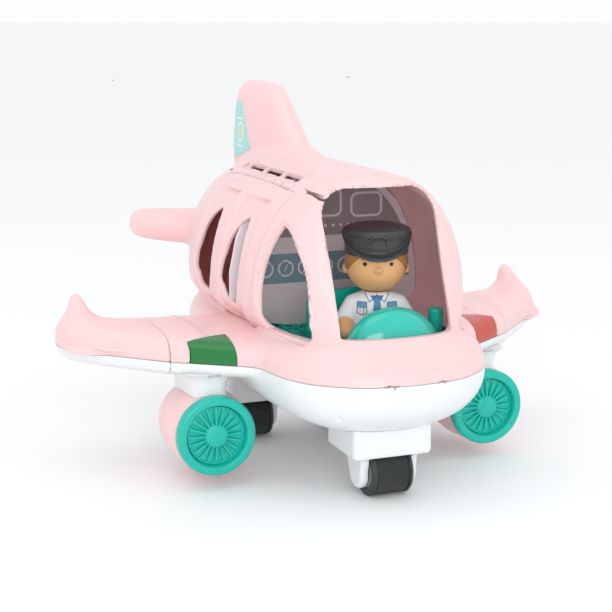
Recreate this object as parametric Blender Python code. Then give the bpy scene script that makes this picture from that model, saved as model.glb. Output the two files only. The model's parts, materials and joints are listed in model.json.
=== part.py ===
"""Toy airplane with an opening side door, rolling wheels and a lift-out pilot.

Metres, +Z up. The nose points to -Y and the starboard wing to -X. The origin is on
the ground, under the middle of the airplane's box. The pink upper half and the white
lower half of the body meet on a level parting plane.
"""

import math

import bmesh
import bpy
from mathutils import Matrix, Vector

MM = 0.001

# Overall
LENGTH = 302 * MM
SPAN = 320 * MM
PARTING_Z = 73 * MM
WALL = 2.4 * MM
FIT = 0.3 * MM  # air between two pieces that meet
SLIP = 0.5 * MM  # air round a piece that lifts out or slides
ROOF_Z = 181 * MM
HULL_Z = 36 * MM
CABIN_WIDTH = 130 * MM
CABIN_WAIST_Z = 103 * MM
DRAWN_LENGTH = 302 * MM  # the length and width that the stations further down are drawn at
DRAWN_WIDTH = 130 * MM
RING_POINTS = 22
WING_POINTS = 16
SQUARENESS = 2.3  # exponent of the body's sections, where 2 is an ellipse

# Windscreen
SCREEN_FOOT_Y = -LENGTH / 2 + 17 * MM
SCREEN_FOOT_Z = 94 * MM
SCREEN_RAKE = 0.405  # metres back for each metre up
SCREEN_CROWN = 6.0  # curve of the pane in plan, in 1/m
SCREEN_WIDTH = 67 * MM
SCREEN_TOP_Z = 175 * MM
SILL_LIP = 1 * MM

# Side door and its hinge
DOOR_FRONT_Y = -60 * MM
DOOR_REAR_Y = 60 * MM
DOOR_SILL_Z = 89 * MM
DOOR_LEAN = 6 * MM
HINGE_X = -33 * MM
HINGE_Z = 168.8 * MM
HINGE_PIN_R = 1.5 * MM
KNUCKLE_R = 3.6 * MM
HINGE_RECESS = (9 * MM, 6 * MM)  # the roof recess, outboard and inboard of the pin
ROOF_STRAP = 10 * MM  # from the pin to where each strap meets the skin
DOOR_STRAP = 8 * MM
SWING_ROOM = 1.5 * MM  # air that lets the door's top edge pass the roof
KNUCKLES = 7
KNUCKLE_STEP = 0.4 * MM  # how much narrower a strap is than its barrel, at each end
STRAP_THICK = 2 * MM
WINDOW_WIDTH = 28 * MM
WINDOW_HEIGHT = 53 * MM
WINDOW_MIDDLE_Z = 124.5 * MM
WINDOW_YS = (-21 * MM, 29 * MM)

# Wings
WING_JOINT_X = 108.6 * MM
WING_REAR_Y = 23 * MM
WING_TOP = 15 * MM
WING_DEPTH = 9 * MM
LENS_X = (76 * MM, 99 * MM)
WINGLET_Z = 102.6 * MM
TIP_SWEEP = 51.4 * MM  # how far the front edge runs back between the joint and the tip
TIP_ROUNDING = 22 * MM  # how far from its end the wing starts to round off

# Wheels
WHEEL_R = 14 * MM
WHEEL_WIDTH = 25 * MM
HUB_R = 9.5 * MM
AXLE_R = 1.6 * MM
CHEEK = 4.4 * MM
NOSE_WHEEL_Y = -110 * MM
MAIN_WHEEL_X = 33.5 * MM
MAIN_WHEEL_Y = 27.6 * MM

# Engines
ENGINE_X = 87.2 * MM
ENGINE_FRONT_Y = -72.8 * MM
ENGINE_Z = 31.8 * MM
INTAKE_R = 23.4 * MM
FAN_R = 17 * MM
RING_DEPTH = 6.5 * MM
NACELLE_LENGTH = 66 * MM
NACELLE_R = 24.2 * MM
BLADES = 20

# Cabin fittings
FLOOR_Z = 78 * MM
FLOOR_THICK = 2.6 * MM
BULKHEAD_Y = -20 * MM
PILOT_X = 5.8 * MM
PILOT_Y = -83 * MM
PILOT_TURN = math.radians(-20)
PEG_R = 5 * MM
BUTTON_TRAVEL = 2 * MM

# Batteries and electronics
CELL_R = 7.1 * MM
CELL_LENGTH = 50 * MM
CELLS = 3
BOX_WALL = 1.5 * MM
BATTERY_Y = -31 * MM
COVER_THICK = 2.8 * MM
SCREW_R = 1.3 * MM
SWITCH_TRAVEL = 5 * MM
SWITCH_Y = 12 * MM

HALF_SPAN = SPAN / 2
NOSE_Y = -LENGTH / 2
TAIL_Y = LENGTH / 2
SIDES = (("starboard", -1), ("port", 1))

for old in list(bpy.data.objects):
    bpy.data.objects.remove(old, do_unlink=True)


def plastic(name, color, roughness=0.35, metallic=0.0):
    made = bpy.data.materials.new(name)
    made.use_nodes = True
    shader = made.node_tree.nodes["Principled BSDF"]
    shader.inputs["Base Color"].default_value = (*color, 1)
    shader.inputs["Roughness"].default_value = roughness
    shader.inputs["Metallic"].default_value = metallic
    return made


PINK = plastic("pink_plastic", (0.90, 0.62, 0.62))
WHITE = plastic("white_plastic", (0.82, 0.83, 0.83))
TEAL = plastic("teal_plastic", (0.02, 0.45, 0.38))
TYRE = plastic("black_tyre", (0.02, 0.022, 0.022), 0.6)
GREEN_LENS = plastic("green_lens", (0.0, 0.20, 0.05), 0.1)
RED_LENS = plastic("red_lens", (0.60, 0.05, 0.03), 0.1)
STEEL = plastic("steel", (0.6, 0.6, 0.6), 0.3, 1.0)
GREY = plastic("grey_plastic", (0.35, 0.35, 0.38))
BOARD = plastic("circuit_board_green", (0.02, 0.2, 0.06), 0.5)
SKIN = plastic("figure_skin", (0.72, 0.42, 0.25), 0.45)
CAP_BLACK = plastic("cap_charcoal", (0.03, 0.03, 0.035), 0.5)


def shape(name, points, faces, material=None):
    """A closed mesh object, or a hidden helper form if it has no material."""
    mesh = bpy.data.meshes.new(name)
    mesh.from_pydata([tuple(p) for p in points], [], faces)
    work = bmesh.new()
    work.from_mesh(mesh)
    bmesh.ops.recalc_face_normals(work, faces=work.faces)
    bmesh.ops.triangulate(work, faces=[face for face in work.faces if len(face.verts) == 4])
    work.to_mesh(mesh)
    work.free()
    mesh.shade_smooth()
    mesh.set_sharp_from_angle(angle=math.radians(35))
    made = bpy.data.objects.new(name, mesh)
    bpy.context.scene.collection.objects.link(made)
    if material:
        mesh.materials.append(material)
    else:
        made.hide_render = True
        made.display_type = "WIRE"
    return made


def loft(name, rings, material=None):
    """Skins a row of rings that have the same number of points, and closes both ends."""
    count = len(rings[0])
    points = [p for ring in rings for p in ring]
    faces = [
        (
            row * count + i,
            row * count + (i + 1) % count,
            (row + 1) * count + (i + 1) % count,
            (row + 1) * count + i,
        )
        for row in range(len(rings) - 1)
        for i in range(count)
    ]
    faces.append(tuple(range(count)))
    faces.append(tuple(range(len(points) - count, len(points))))
    return shape(name, points, faces, material)


def turned(name, profile, centre, axis="Y", material=None, steps=32):
    """Turns (radius, distance) pairs round the axis; the first and last lie on it or make a flat end."""
    turn = {"X": Matrix.Rotation(math.radians(90), 3, "Y"), "Y": Matrix.Rotation(math.radians(-90), 3, "X")}
    rotate = turn.get(axis, Matrix.Identity(3))
    rings = []
    for radius, distance in profile:
        ring = []
        for step in range(steps):
            angle = math.tau * step / steps
            place = Vector((radius * math.cos(angle), radius * math.sin(angle), distance))
            ring.append(rotate @ place + Vector(centre))
        rings.append(ring)
    return loft(name, rings, material)


def block(name, low, high, material=None, bevel=0.0):
    corners = [(x, y, z) for x in (low[0], high[0]) for y in (low[1], high[1]) for z in (low[2], high[2])]
    faces = [(0, 1, 3, 2), (4, 6, 7, 5), (0, 4, 5, 1), (2, 3, 7, 6), (0, 2, 6, 4), (1, 5, 7, 3)]
    made = shape(name, corners, faces, material)
    if bevel:
        rounded = made.modifiers.new("rounding", "BEVEL")
        rounded.width = bevel
        rounded.segments = 2
    return made


def combine(made, other, operation):
    step = made.modifiers.new(other.name, "BOOLEAN")
    step.operation = operation
    step.solver = "EXACT"
    step.object = other
    return made


def cut(made, *others):
    for other in others:
        combine(made, other, "DIFFERENCE")
    return made


def join(made, *others):
    for other in others:
        combine(made, other, "UNION")
    return made


def keep_inside(made, other):
    return combine(made, other, "INTERSECT")


def power(value, exponent):
    return math.copysign(abs(value) ** exponent, value)


def oval(half_a, low, high, squareness=SQUARENESS, count=RING_POINTS):
    """Points round a squared oval: half_a each way on one axis, low and high on the other."""
    found = []
    for step in range(count):
        angle = math.tau * (step + 0.5) / count
        across = half_a * power(math.cos(angle), 2 / squareness)
        along = math.sin(angle)
        rise = (high if along > 0 else low) * power(abs(along), 2 / squareness)
        found.append((across, rise if along > 0 else -rise))
    return found


def fitted(stations):
    """Body stations stretched from their drawn length and width to the model's."""
    longer = LENGTH / DRAWN_LENGTH
    wider = CABIN_WIDTH / DRAWN_WIDTH
    return [(y * longer, half * wider, *heights) for y, half, *heights in stations]


# Body: stations from nose to tail as (y, half width, bottom, widest height, top)
CABIN_STATIONS = fitted([
    (-141 * MM, 8 * MM, 80 * MM, CABIN_WAIST_Z, 150 * MM),
    (-139 * MM, 17 * MM, 80 * MM, CABIN_WAIST_Z, 164 * MM),
    (-135 * MM, 26 * MM, 80 * MM, CABIN_WAIST_Z, 173 * MM),
    (-129 * MM, 33 * MM, 80 * MM, CABIN_WAIST_Z, 178 * MM),
    (-120 * MM, 40.5 * MM, 80 * MM, CABIN_WAIST_Z, 180 * MM),
    (-110 * MM, 47.5 * MM, 80 * MM, CABIN_WAIST_Z, ROOF_Z),
    (-97 * MM, 54.5 * MM, 80 * MM, CABIN_WAIST_Z, ROOF_Z),
    (-80 * MM, 59.5 * MM, 80 * MM, CABIN_WAIST_Z, ROOF_Z),
    (-60 * MM, 62.5 * MM, 80 * MM, CABIN_WAIST_Z, ROOF_Z),
    (-30 * MM, 64.5 * MM, 80 * MM, CABIN_WAIST_Z, ROOF_Z),
    (0, 65 * MM, 80 * MM, CABIN_WAIST_Z, ROOF_Z),
    (30 * MM, 65 * MM, 80 * MM, CABIN_WAIST_Z, ROOF_Z - 0.5 * MM),
    (55 * MM, 63 * MM, 80 * MM, 104 * MM, 179 * MM),
    (80 * MM, 57 * MM, 80 * MM, 107 * MM, 174 * MM),
    (100 * MM, 49.5 * MM, 80 * MM, 110 * MM, 167 * MM),
    (118 * MM, 39 * MM, 84 * MM, 113 * MM, 158 * MM),
    (132 * MM, 29 * MM, 91 * MM, 116 * MM, 148 * MM),
    (142 * MM, 19.5 * MM, 99 * MM, 118 * MM, 138 * MM),
    (148.5 * MM, 11 * MM, 107 * MM, 119 * MM, 130 * MM),
    (DRAWN_LENGTH / 2, 4 * MM, 115 * MM, 120 * MM, 125 * MM),
])
# Belly: (y, half width at the parting plane, bottom, top)
BELLY_STATIONS = fitted([
    (-DRAWN_LENGTH / 2, 4 * MM, 71 * MM, 75 * MM),
    (-149.5 * MM, 18 * MM, 65 * MM, 78 * MM),
    (-146 * MM, 30 * MM, 57 * MM, 81.5 * MM),
    (-140 * MM, 40 * MM, 50 * MM, 87 * MM),
    (-134 * MM, 47.5 * MM, 45.5 * MM, 93.5 * MM),
    (-126 * MM, 54.5 * MM, 41.5 * MM, 98 * MM),
    (-110 * MM, 61.5 * MM, 37.5 * MM, 100 * MM),
    (-83 * MM, 66 * MM, HULL_Z, 98 * MM),
    (-40 * MM, 68 * MM, HULL_Z, 96 * MM),
    (0, 68 * MM, HULL_Z, 94 * MM),
    (30 * MM, 66 * MM, HULL_Z + 1 * MM, 92 * MM),
    (60 * MM, 62 * MM, HULL_Z + 6 * MM, 92 * MM),
    (85 * MM, 55 * MM, HULL_Z + 14 * MM, 92 * MM),
    (105 * MM, 45 * MM, HULL_Z + 24 * MM, 94 * MM),
    (120 * MM, 35 * MM, HULL_Z + 31 * MM, 96 * MM),
    (129 * MM, 26 * MM, HULL_Z + 35 * MM, 97 * MM),
])


def cabin_form(name, inset=0.0):
    """The tall upper body. An inset makes the space that much inside its skin."""
    rings = []
    for y, half, bottom, waist, top in CABIN_STATIONS:
        if half - inset < 3 * MM or y - inset > TAIL_Y - 2 * inset:
            continue
        low = waist - bottom - inset * 0.2
        ring = oval(half - inset, low, top - waist - inset)
        rings.append([(x, y, waist + z) for x, z in ring])
    return cut(loft(name, rings), screen_rake(name + "_rake", inset))


def screen_rake(name, inset):
    """Everything in front of the raked, slightly bowed windscreen."""
    rings = []
    for z in (60 * MM, 200 * MM):
        foot = SCREEN_FOOT_Y + (z - SCREEN_FOOT_Z) * SCREEN_RAKE + inset
        xs = [(step - 8) * 10 * MM for step in range(17)]
        ring = [(x, foot + SCREEN_CROWN * x * x, z) for x in xs]
        ring += [(80 * MM, -230 * MM, z), (-80 * MM, -230 * MM, z)]
        rings.append(ring)
    return loft(name, rings)


def inward(y, inset):
    """A belly station moved back by the wall at the nose, where the skin faces forwards."""
    return y + inset if y < -100 * MM else y


def belly_form(name, inset=0.0):
    rings = []
    for y, half, bottom, top in BELLY_STATIONS:
        depth, rise = PARTING_Z - bottom - inset, top - PARTING_Z - inset
        if half - inset < 3 * MM or min(depth, rise) < 1.5 * MM:
            continue
        ring = oval(half - inset, depth, rise)
        rings.append([(x, inward(y, inset), PARTING_Z + z) for x, z in ring])
    return loft(name, rings)


def leading_edge(x):
    """Where the wing's front edge lies at a distance x from the middle."""
    inner = -83 * MM + (min(x, WING_JOINT_X) - 66 * MM) * 0.70
    return inner + max(0.0, x - WING_JOINT_X) * TIP_SWEEP / (HALF_SPAN - WING_JOINT_X)


def wing_ring(x, inset=0.0):
    """The wing's section at x, rounded off towards the tip."""
    rounding = HALF_SPAN - TIP_ROUNDING
    reach = max(0.0, (abs(x) - rounding) / (TIP_ROUNDING + 1.5 * MM - inset))
    shrink = math.sqrt(max(0.0, 1 - reach * reach))
    front = leading_edge(abs(x))
    middle = (front + WING_REAR_Y) / 2
    half = (WING_REAR_Y - front) / 2
    middle += (1 - shrink) * 8 * MM
    lift = 2.4 * MM * max(0.0, abs(x) - WING_JOINT_X) / (HALF_SPAN - WING_JOINT_X)
    top = WING_TOP * (0.45 + 0.55 * shrink) - inset
    ring = oval(
        half * (0.35 + 0.65 * shrink) - inset,
        WING_DEPTH * (0.7 + 0.3 * shrink) - inset,
        top,
        3.2,
        WING_POINTS,
    )
    return [(x, middle + y, PARTING_Z + lift + z) for y, z in ring]


def inner_wing_form(name, inset=0.0, past=0.0):
    """Both wings as far as the joint with their tips, straight through the body."""
    end = WING_JOINT_X - FIT / 2 - past
    xs = [-end, -86 * MM, -66 * MM, -40 * MM, 40 * MM, 66 * MM, 86 * MM, end]
    return loft(name, [wing_ring(x, inset) for x in xs])


def slab(name, low_z, high_z):
    return block(name, (-0.3, -0.3, low_z), (0.3, 0.3, high_z))


def rod(name, start, end, radius, material=None, steps=16):
    """A round bar between two points that differ on one axis."""
    axis = "XYZ"[max(range(3), key=lambda k: abs(end[k] - start[k]))]
    length = sum(end[k] - start[k] for k in range(3))
    return turned(name, [(radius, 0), (radius, length)], start, axis, material, steps)


def stadium(
    name, centre_y, centre_z, width, height, low_x, high_x, lean=0.0, squareness=2.6, material=None
):
    """An upright rounded opening, cut from low_x to high_x."""
    ring = oval(width / 2, height / 2, height / 2, squareness, 28)
    rings = [
        [(x, centre_y + y + lean * z / height, centre_z + z) for y, z in ring] for x in (low_x, high_x)
    ]
    return loft(name, rings, material)


def door_block(name, grow, inner_x):
    """The side door's outline, pushed through the starboard wall as far as inner_x."""
    low = DOOR_SILL_Z - grow
    high = HINGE_Z + 1.5 * MM + grow
    front_low = DOOR_FRONT_Y + 4 * MM - grow
    front_high = DOOR_FRONT_Y - DOOR_LEAN - grow
    rear_low = DOOR_REAR_Y + grow
    rear_high = DOOR_REAR_Y - 2 * DOOR_LEAN + grow
    outline = [(front_low, low), (rear_low, low), (rear_high, high), (front_high, high)]
    rings = [[(x, y, z) for y, z in outline] for x in (-90 * MM, inner_x)]
    made = loft(name, rings)
    rounded = made.modifiers.new("corners", "BEVEL")
    rounded.width = 5 * MM
    rounded.segments = 3
    rounded.limit_method = "NONE"
    return made


# Hidden forms that several pieces share
cabin_outer = cabin_form("cabin_outer")
cabin_inner = cabin_form("cabin_inner", WALL)
belly_outer = belly_form("belly_outer")
belly_inner = belly_form("belly_inner", WALL)
wing_outer = inner_wing_form("wing_outer")
wing_inner = inner_wing_form("wing_inner", WALL, WALL)
above = slab("above_parting", PARTING_Z + FIT / 2, 0.4)
below = slab("below_parting", -0.1, PARTING_Z - FIT / 2)

# Upper shell
upper_shell = belly_form("upper_shell")
upper_shell.hide_render = False
upper_shell.display_type = "TEXTURED"
upper_shell.data.materials.append(PINK)
join(upper_shell, cabin_outer, wing_outer)
keep_inside(upper_shell, above)
cut(upper_shell, belly_inner, cabin_inner, wing_inner)


def screen_opening():
    """The windscreen's outline, straight at the sill and arched at the roof."""
    half = SCREEN_WIDTH / 2
    side = SCREEN_TOP_Z - 12 * MM
    outline = [(-half, SCREEN_FOOT_Z + SILL_LIP), (half, SCREEN_FOOT_Z + SILL_LIP)]
    for step in range(13):
        angle = math.pi * step / 12
        outline.append((half * power(math.cos(angle), 0.55), side + 12 * MM * power(math.sin(angle), 0.8)))
    rings = [[(x, y, z) for x, z in outline] for y in (-300 * MM, -84 * MM)]
    return loft("windscreen_opening", rings)


def front_window():
    """The arched window behind the starboard windscreen pillar."""
    outline = [(-111 * MM, 94 * MM), (-68.5 * MM, 90.5 * MM), (-67.5 * MM, 114 * MM), (-70 * MM, 136 * MM)]
    outline += [
        (-73 * MM, 147 * MM), (-77.5 * MM, 152.5 * MM), (-84 * MM, 151 * MM), (-92 * MM, 145.5 * MM)
    ]
    outline += [(-99 * MM, 137 * MM), (-105.5 * MM, 124 * MM), (-109 * MM, 110 * MM)]
    return loft("front_window", [[(x, y, z) for y, z in outline] for x in (-80 * MM, -36 * MM)])


opening_inner_x = HINGE_X - KNUCKLE_R - 3 * FIT
cut(upper_shell, screen_opening(), front_window(), door_block("door_opening", FIT, opening_inner_x))
LENS_BOXES = {}
for side, sign in SIDES:
    near, far = sorted((sign * LENS_X[0], sign * LENS_X[1]))
    front = leading_edge(LENS_X[0])
    rear = leading_edge(LENS_X[1]) + 7 * MM
    box = block("lens_seat_" + side, (near, front - 20 * MM, PARTING_Z), (far, rear, 100 * MM))
    LENS_BOXES[side] = (near, far, front - 20 * MM, rear)
    cut(upper_shell, box)

# Roof recess, where the door's knuckles swing, and the fixed knuckles in it
recess_front = DOOR_FRONT_Y + 4 * MM
recess_rear = DOOR_REAR_Y - 10 * MM
recess = block(
    "hinge_recess",
    (HINGE_X - HINGE_RECESS[0], recess_front, HINGE_Z - 10.8 * MM),
    (HINGE_X + HINGE_RECESS[1], recess_rear, ROOF_Z + 9 * MM),
)
cut(upper_shell, recess)
pitch = (recess_rear - recess_front) / KNUCKLES
pin_hole = rod(
    "pin_hole",
    (HINGE_X, recess_front - 2 * MM, HINGE_Z),
    (HINGE_X, recess_rear + 2 * MM, HINGE_Z),
    HINGE_PIN_R + FIT,
)


def skin_height(x):
    """The middle of the roof's wall at x, along the straight part of the cabin."""
    level = (1 - (2 * abs(x) / CABIN_WIDTH) ** SQUARENESS) ** (1 / SQUARENESS)
    return CABIN_WAIST_Z + (ROOF_Z - CABIN_WAIST_Z) * level - WALL / 2


def knuckle(name, index, arm_end_x):
    """One hinge knuckle, with the strap that carries it from the skin at arm_end_x."""
    start = recess_front + index * pitch + FIT
    end = recess_front + (index + 1) * pitch - FIT
    barrel = rod(name, (HINGE_X, start, HINGE_Z), (HINGE_X, end, HINGE_Z), KNUCKLE_R, steps=20)
    along = Vector((arm_end_x - HINGE_X, skin_height(arm_end_x) - HINGE_Z)).normalized() * STRAP_THICK / 2
    corners = []
    for x, z in ((HINGE_X, HINGE_Z), (arm_end_x, skin_height(arm_end_x))):
        corners.append((x - along.y, z + along.x))
        corners.append((x + along.y, z - along.x))
    outline = [corners[0], corners[1], corners[3], corners[2]]
    ends = (start + KNUCKLE_STEP, end - KNUCKLE_STEP)
    return barrel, loft(name + "_strap", [[(x, y, z) for x, z in outline] for y in ends])


for index in range(0, KNUCKLES, 2):
    barrel, strap = knuckle(f"roof_knuckle_{index}", index, HINGE_X + ROOF_STRAP)
    join(upper_shell, strap, barrel)
cut(upper_shell, pin_hole)

# Side door, from the same skin
side_door = cabin_form("side_door")
side_door.hide_render = False
side_door.display_type = "TEXTURED"
side_door.data.materials.append(PINK)
cut(side_door, cabin_inner)
keep_inside(side_door, door_block("door_outline", 0.0, opening_inner_x - SWING_ROOM))
for number, y in enumerate(WINDOW_YS):
    opening = stadium(
        f"door_window_{number}",
        y,
        WINDOW_MIDDLE_Z,
        WINDOW_WIDTH,
        WINDOW_HEIGHT,
        -90 * MM,
        -25 * MM,
        -8 * MM,
        2.2,
    )
    cut(side_door, opening)
for index in range(1, KNUCKLES, 2):
    barrel, strap = knuckle(f"door_knuckle_{index}", index, HINGE_X - DOOR_STRAP)
    join(side_door, strap, barrel)
cut(side_door, pin_hole)
rod(
    "hinge_pin",
    (HINGE_X, recess_front + 1 * MM, HINGE_Z),
    (HINGE_X, recess_rear - 1 * MM, HINGE_Z),
    HINGE_PIN_R,
    STEEL,
)

# Lower hull
lower_hull = belly_form("lower_hull")
lower_hull.hide_render = False
lower_hull.display_type = "TEXTURED"
lower_hull.data.materials.append(WHITE)
join(lower_hull, wing_outer)
keep_inside(lower_hull, below)
cut(lower_hull, belly_inner, wing_inner)

# Wing tips, with an upswept winglet: (z, x, y, half depth, half width)
WINGLET_RINGS = [
    (78 * MM, HALF_SPAN - 14 * MM, 3 * MM, 18 * MM, 10.5 * MM),
    (86 * MM, HALF_SPAN - 13.5 * MM, 9 * MM, 13.5 * MM, 8.6 * MM),
    (94 * MM, HALF_SPAN - 13 * MM, 13.5 * MM, 9 * MM, 6 * MM),
    (100 * MM, HALF_SPAN - 13 * MM, 17 * MM, 5 * MM, 3.6 * MM),
    (WINGLET_Z, HALF_SPAN - 13 * MM, 18.5 * MM, 2 * MM, 1.6 * MM),
]


def wing_tip_form(name, sign, inset=0.0):
    start = WING_JOINT_X + FIT / 2 + inset
    from_end = (40 * MM, 28 * MM, 19 * MM, 11 * MM, 5 * MM, 1.6 * MM + inset, inset)
    xs = [start] + [HALF_SPAN - back for back in from_end]
    return loft(name, [wing_ring(sign * x, inset) for x in xs])


def winglet_form(name, sign):
    rings = []
    for z, x, y, half_y, half_x in WINGLET_RINGS:
        ring = oval(half_x, half_y, half_y, 2.2, 14)
        rings.append([(sign * x + a, y + b, z) for a, b in ring])
    return loft(name, rings)


for side, sign in SIDES:
    upper = wing_tip_form("wing_tip_upper_" + side, sign)
    lower = wing_tip_form("wing_tip_lower_" + side, sign)
    hollow = wing_tip_form("wing_tip_hollow_" + side, sign, WALL)
    join(upper, winglet_form("winglet_" + side, sign))
    for tip, half, material in ((upper, above, PINK), (lower, below, WHITE)):
        tip.hide_render = False
        tip.display_type = "TEXTURED"
        tip.data.materials.append(material)
        keep_inside(tip, half)
        cut(tip, hollow)

# Navigation lamps in the wings' front edges
for side, sign in SIDES:
    near, far, front, rear = LENS_BOXES[side]
    lens = inner_wing_form("nav_lens_" + side)
    lens.hide_render = False
    lens.display_type = "TEXTURED"
    lens.data.materials.append(GREEN_LENS if side == "starboard" else RED_LENS)
    low = (near + FIT, front, PARTING_Z + FIT / 2)
    keep_inside(lens, block("lens_outline_" + side, low, (far - FIT, rear - FIT, 100 * MM)))
    cut(lens, wing_inner)
    lamp_x = sign * (LENS_X[0] + LENS_X[1]) / 2
    lamp_y = leading_edge(abs(lamp_x)) + 11 * MM
    profile = [(0.6 * MM, 0), (1.9 * MM, 1.2 * MM), (2.5 * MM, 3 * MM), (2.5 * MM, 7 * MM)]
    turned("nav_led_" + side, profile, (lamp_x, lamp_y, PARTING_Z + 7 * MM), "Y", WHITE, 16)

# Tail fin and tailplanes, seated on the body
TAIL_SHIFT = TAIL_Y - DRAWN_LENGTH / 2
FIN_RINGS = [
    (140 * MM, -2 * MM, 132 * MM, 12 * MM),
    (165 * MM, -4 * MM, 138 * MM, 13 * MM),
    (180 * MM, 8 * MM, 139 * MM, 13 * MM),
    (192 * MM, 24 * MM, 136 * MM, 12.5 * MM),
    (206 * MM, 41 * MM, 133 * MM, 11.5 * MM),
    (216 * MM, 53 * MM, 129 * MM, 9.8 * MM),
    (221.5 * MM, 61 * MM, 124 * MM, 7.6 * MM),
    (224.3 * MM, 69 * MM, 116 * MM, 4.6 * MM),
    (225 * MM, 76 * MM, 108 * MM, 2.2 * MM),
]


def fin_form(name, inset=0.0, material=None):
    rings = []
    for z, front, rear, half in FIN_RINGS:
        if inset and half - inset < 4 * MM:
            continue
        ring = oval((rear - front) / 2 - inset, half - inset, half - inset, 2.4, WING_POINTS)
        middle = (front + rear) / 2 + TAIL_SHIFT
        rings.append([(x, middle + y, z - inset * 0.4) for y, x in ring])
    return loft(name, rings, material)


def tailplane_form(name, sign, inset=0.0, material=None):
    rings = []
    for x, front, rear, low, high in (
        (18 * MM, 78 * MM, 130 * MM, 114 * MM, 138 * MM),
        (50 * MM, 86 * MM, 128 * MM, 116 * MM, 138.5 * MM),
        (70 * MM, 93 * MM, 125 * MM, 118.5 * MM, 139.5 * MM),
        (80 * MM, 97 * MM, 122 * MM, 120.5 * MM, 139.5 * MM),
        (86 * MM, 101 * MM, 118.5 * MM, 123 * MM, 137 * MM),
        (88.5 * MM, 106 * MM, 114 * MM, 126.5 * MM, 133 * MM),
    ):
        if rear - front < 10 * MM and inset:
            continue
        middle_y = (front + rear) / 2 + TAIL_SHIFT
        middle_z = (low + high) / 2
        ring = oval(
            (rear - front) / 2 - inset, middle_z - low - inset, high - middle_z - inset, 2.6, WING_POINTS
        )
        rings.append([(sign * (x - inset), middle_y + y, middle_z + z) for y, z in ring])
    return loft(name, rings, material)


seat_form = cabin_form("tail_seat", -FIT)
tail_fin = cut(fin_form("tail_fin", 0.0, PINK), fin_form("fin_hollow", WALL), seat_form)
for side, sign in SIDES:
    plane = tailplane_form("tailplane_" + side, sign, 0.0, PINK)
    cut(plane, tailplane_form("tailplane_hollow_" + side, sign, WALL), seat_form)

# Undercarriage: a fork, an axle, a hub and a tyre for each wheel
belly_seat = belly_form("belly_seat", -FIT)
WHEELS = [("nose", 0.0, NOSE_WHEEL_Y, 24 * MM), ("main_starboard", -MAIN_WHEEL_X, MAIN_WHEEL_Y, 17.6 * MM)]
WHEELS.append(("main_port", MAIN_WHEEL_X, MAIN_WHEEL_Y, 17.6 * MM))
for place, x, y, shoulder in WHEELS:
    outer = WHEEL_WIDTH / 2 + 2 * FIT + CHEEK
    fork = block(
        f"{place}_gear_fork",
        (x - shoulder, y - 13 * MM, WHEEL_R + 10 * MM),
        (x + shoulder, y + 28 * MM, WHEEL_R + 32 * MM),
        WHITE,
        3 * MM,
    )
    leg_ring = [
        (-11 * MM, WHEEL_R + 14 * MM),
        (22 * MM, WHEEL_R + 14 * MM),
        (14 * MM, 4.5 * MM),
        (-6 * MM, 4.5 * MM),
    ]
    legs = loft(f"{place}_legs", [[(a, y + b, z) for b, z in leg_ring] for a in (x - outer, x + outer)])
    join(fork, legs)
    half_slot = WHEEL_WIDTH / 2 + 2 * FIT
    wheel_well = rod(
        f"{place}_well",
        (x - half_slot, y, WHEEL_R),
        (x + half_slot, y, WHEEL_R),
        WHEEL_R + 2 * MM,
        steps=32,
    )
    lower_well = block(
        f"{place}_lower_well", (x - half_slot, y - 30 * MM, -0.05), (x + half_slot, y + 30 * MM, 18 * MM)
    )
    cut(fork, wheel_well, lower_well, belly_seat)
    reach = outer - 0.8 * MM
    cut(
        fork,
        rod(
            f"{place}_axle_hole",
            (x - outer - 1 * MM, y, WHEEL_R),
            (x + outer + 1 * MM, y, WHEEL_R),
            AXLE_R + FIT,
            steps=12,
        ),
    )
    rod(f"{place}_axle", (x - reach, y, WHEEL_R), (x + reach, y, WHEEL_R), AXLE_R, STEEL, 12)
    half = WHEEL_WIDTH / 2
    soft = 1.6 * MM
    tyre_profile = [
        (WHEEL_R - soft, -half), (WHEEL_R, -half + soft), (WHEEL_R, half - soft), (WHEEL_R - soft, half)
    ]
    tyre = turned(f"{place}_tyre", tyre_profile, (x, y, WHEEL_R), "X", TYRE, 30)
    bore = rod(
        f"{place}_tyre_bore",
        (x - half - 1 * MM, y, WHEEL_R),
        (x + half + 1 * MM, y, WHEEL_R),
        HUB_R,
        steps=20,
    )
    cut(tyre, bore)
    hub_half = half - 0.4 * MM
    hub = rod(f"{place}_hub", (x - hub_half, y, WHEEL_R), (x + hub_half, y, WHEEL_R), HUB_R - FIT, GREY, 20)
    cut(
        hub,
        rod(f"{place}_hub_bore", (x - half, y, WHEEL_R), (x + half, y, WHEEL_R), AXLE_R + FIT, steps=12),
    )

# Engines: pylon, nacelle, intake ring and fan
NACELLE_PROFILE = [
    (0.895, 0.0), (0.975, 0.13), (1.0, 0.28), (0.967, 0.46), (0.85, 0.67), (0.62, 0.85), (0.33, 0.955)
]
NACELLE_PROFILE.append((0.06, 1.0))
wing_seat = inner_wing_form("wing_seat", -FIT)


def nacelle_form(name, x, grow, material=None):
    start = ENGINE_FRONT_Y + RING_DEPTH + FIT
    profile = [(NACELLE_R * share + grow, NACELLE_LENGTH * along) for share, along in NACELLE_PROFILE]
    return turned(name, profile, (x, start, ENGINE_Z), "Y", material, 20)


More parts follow.
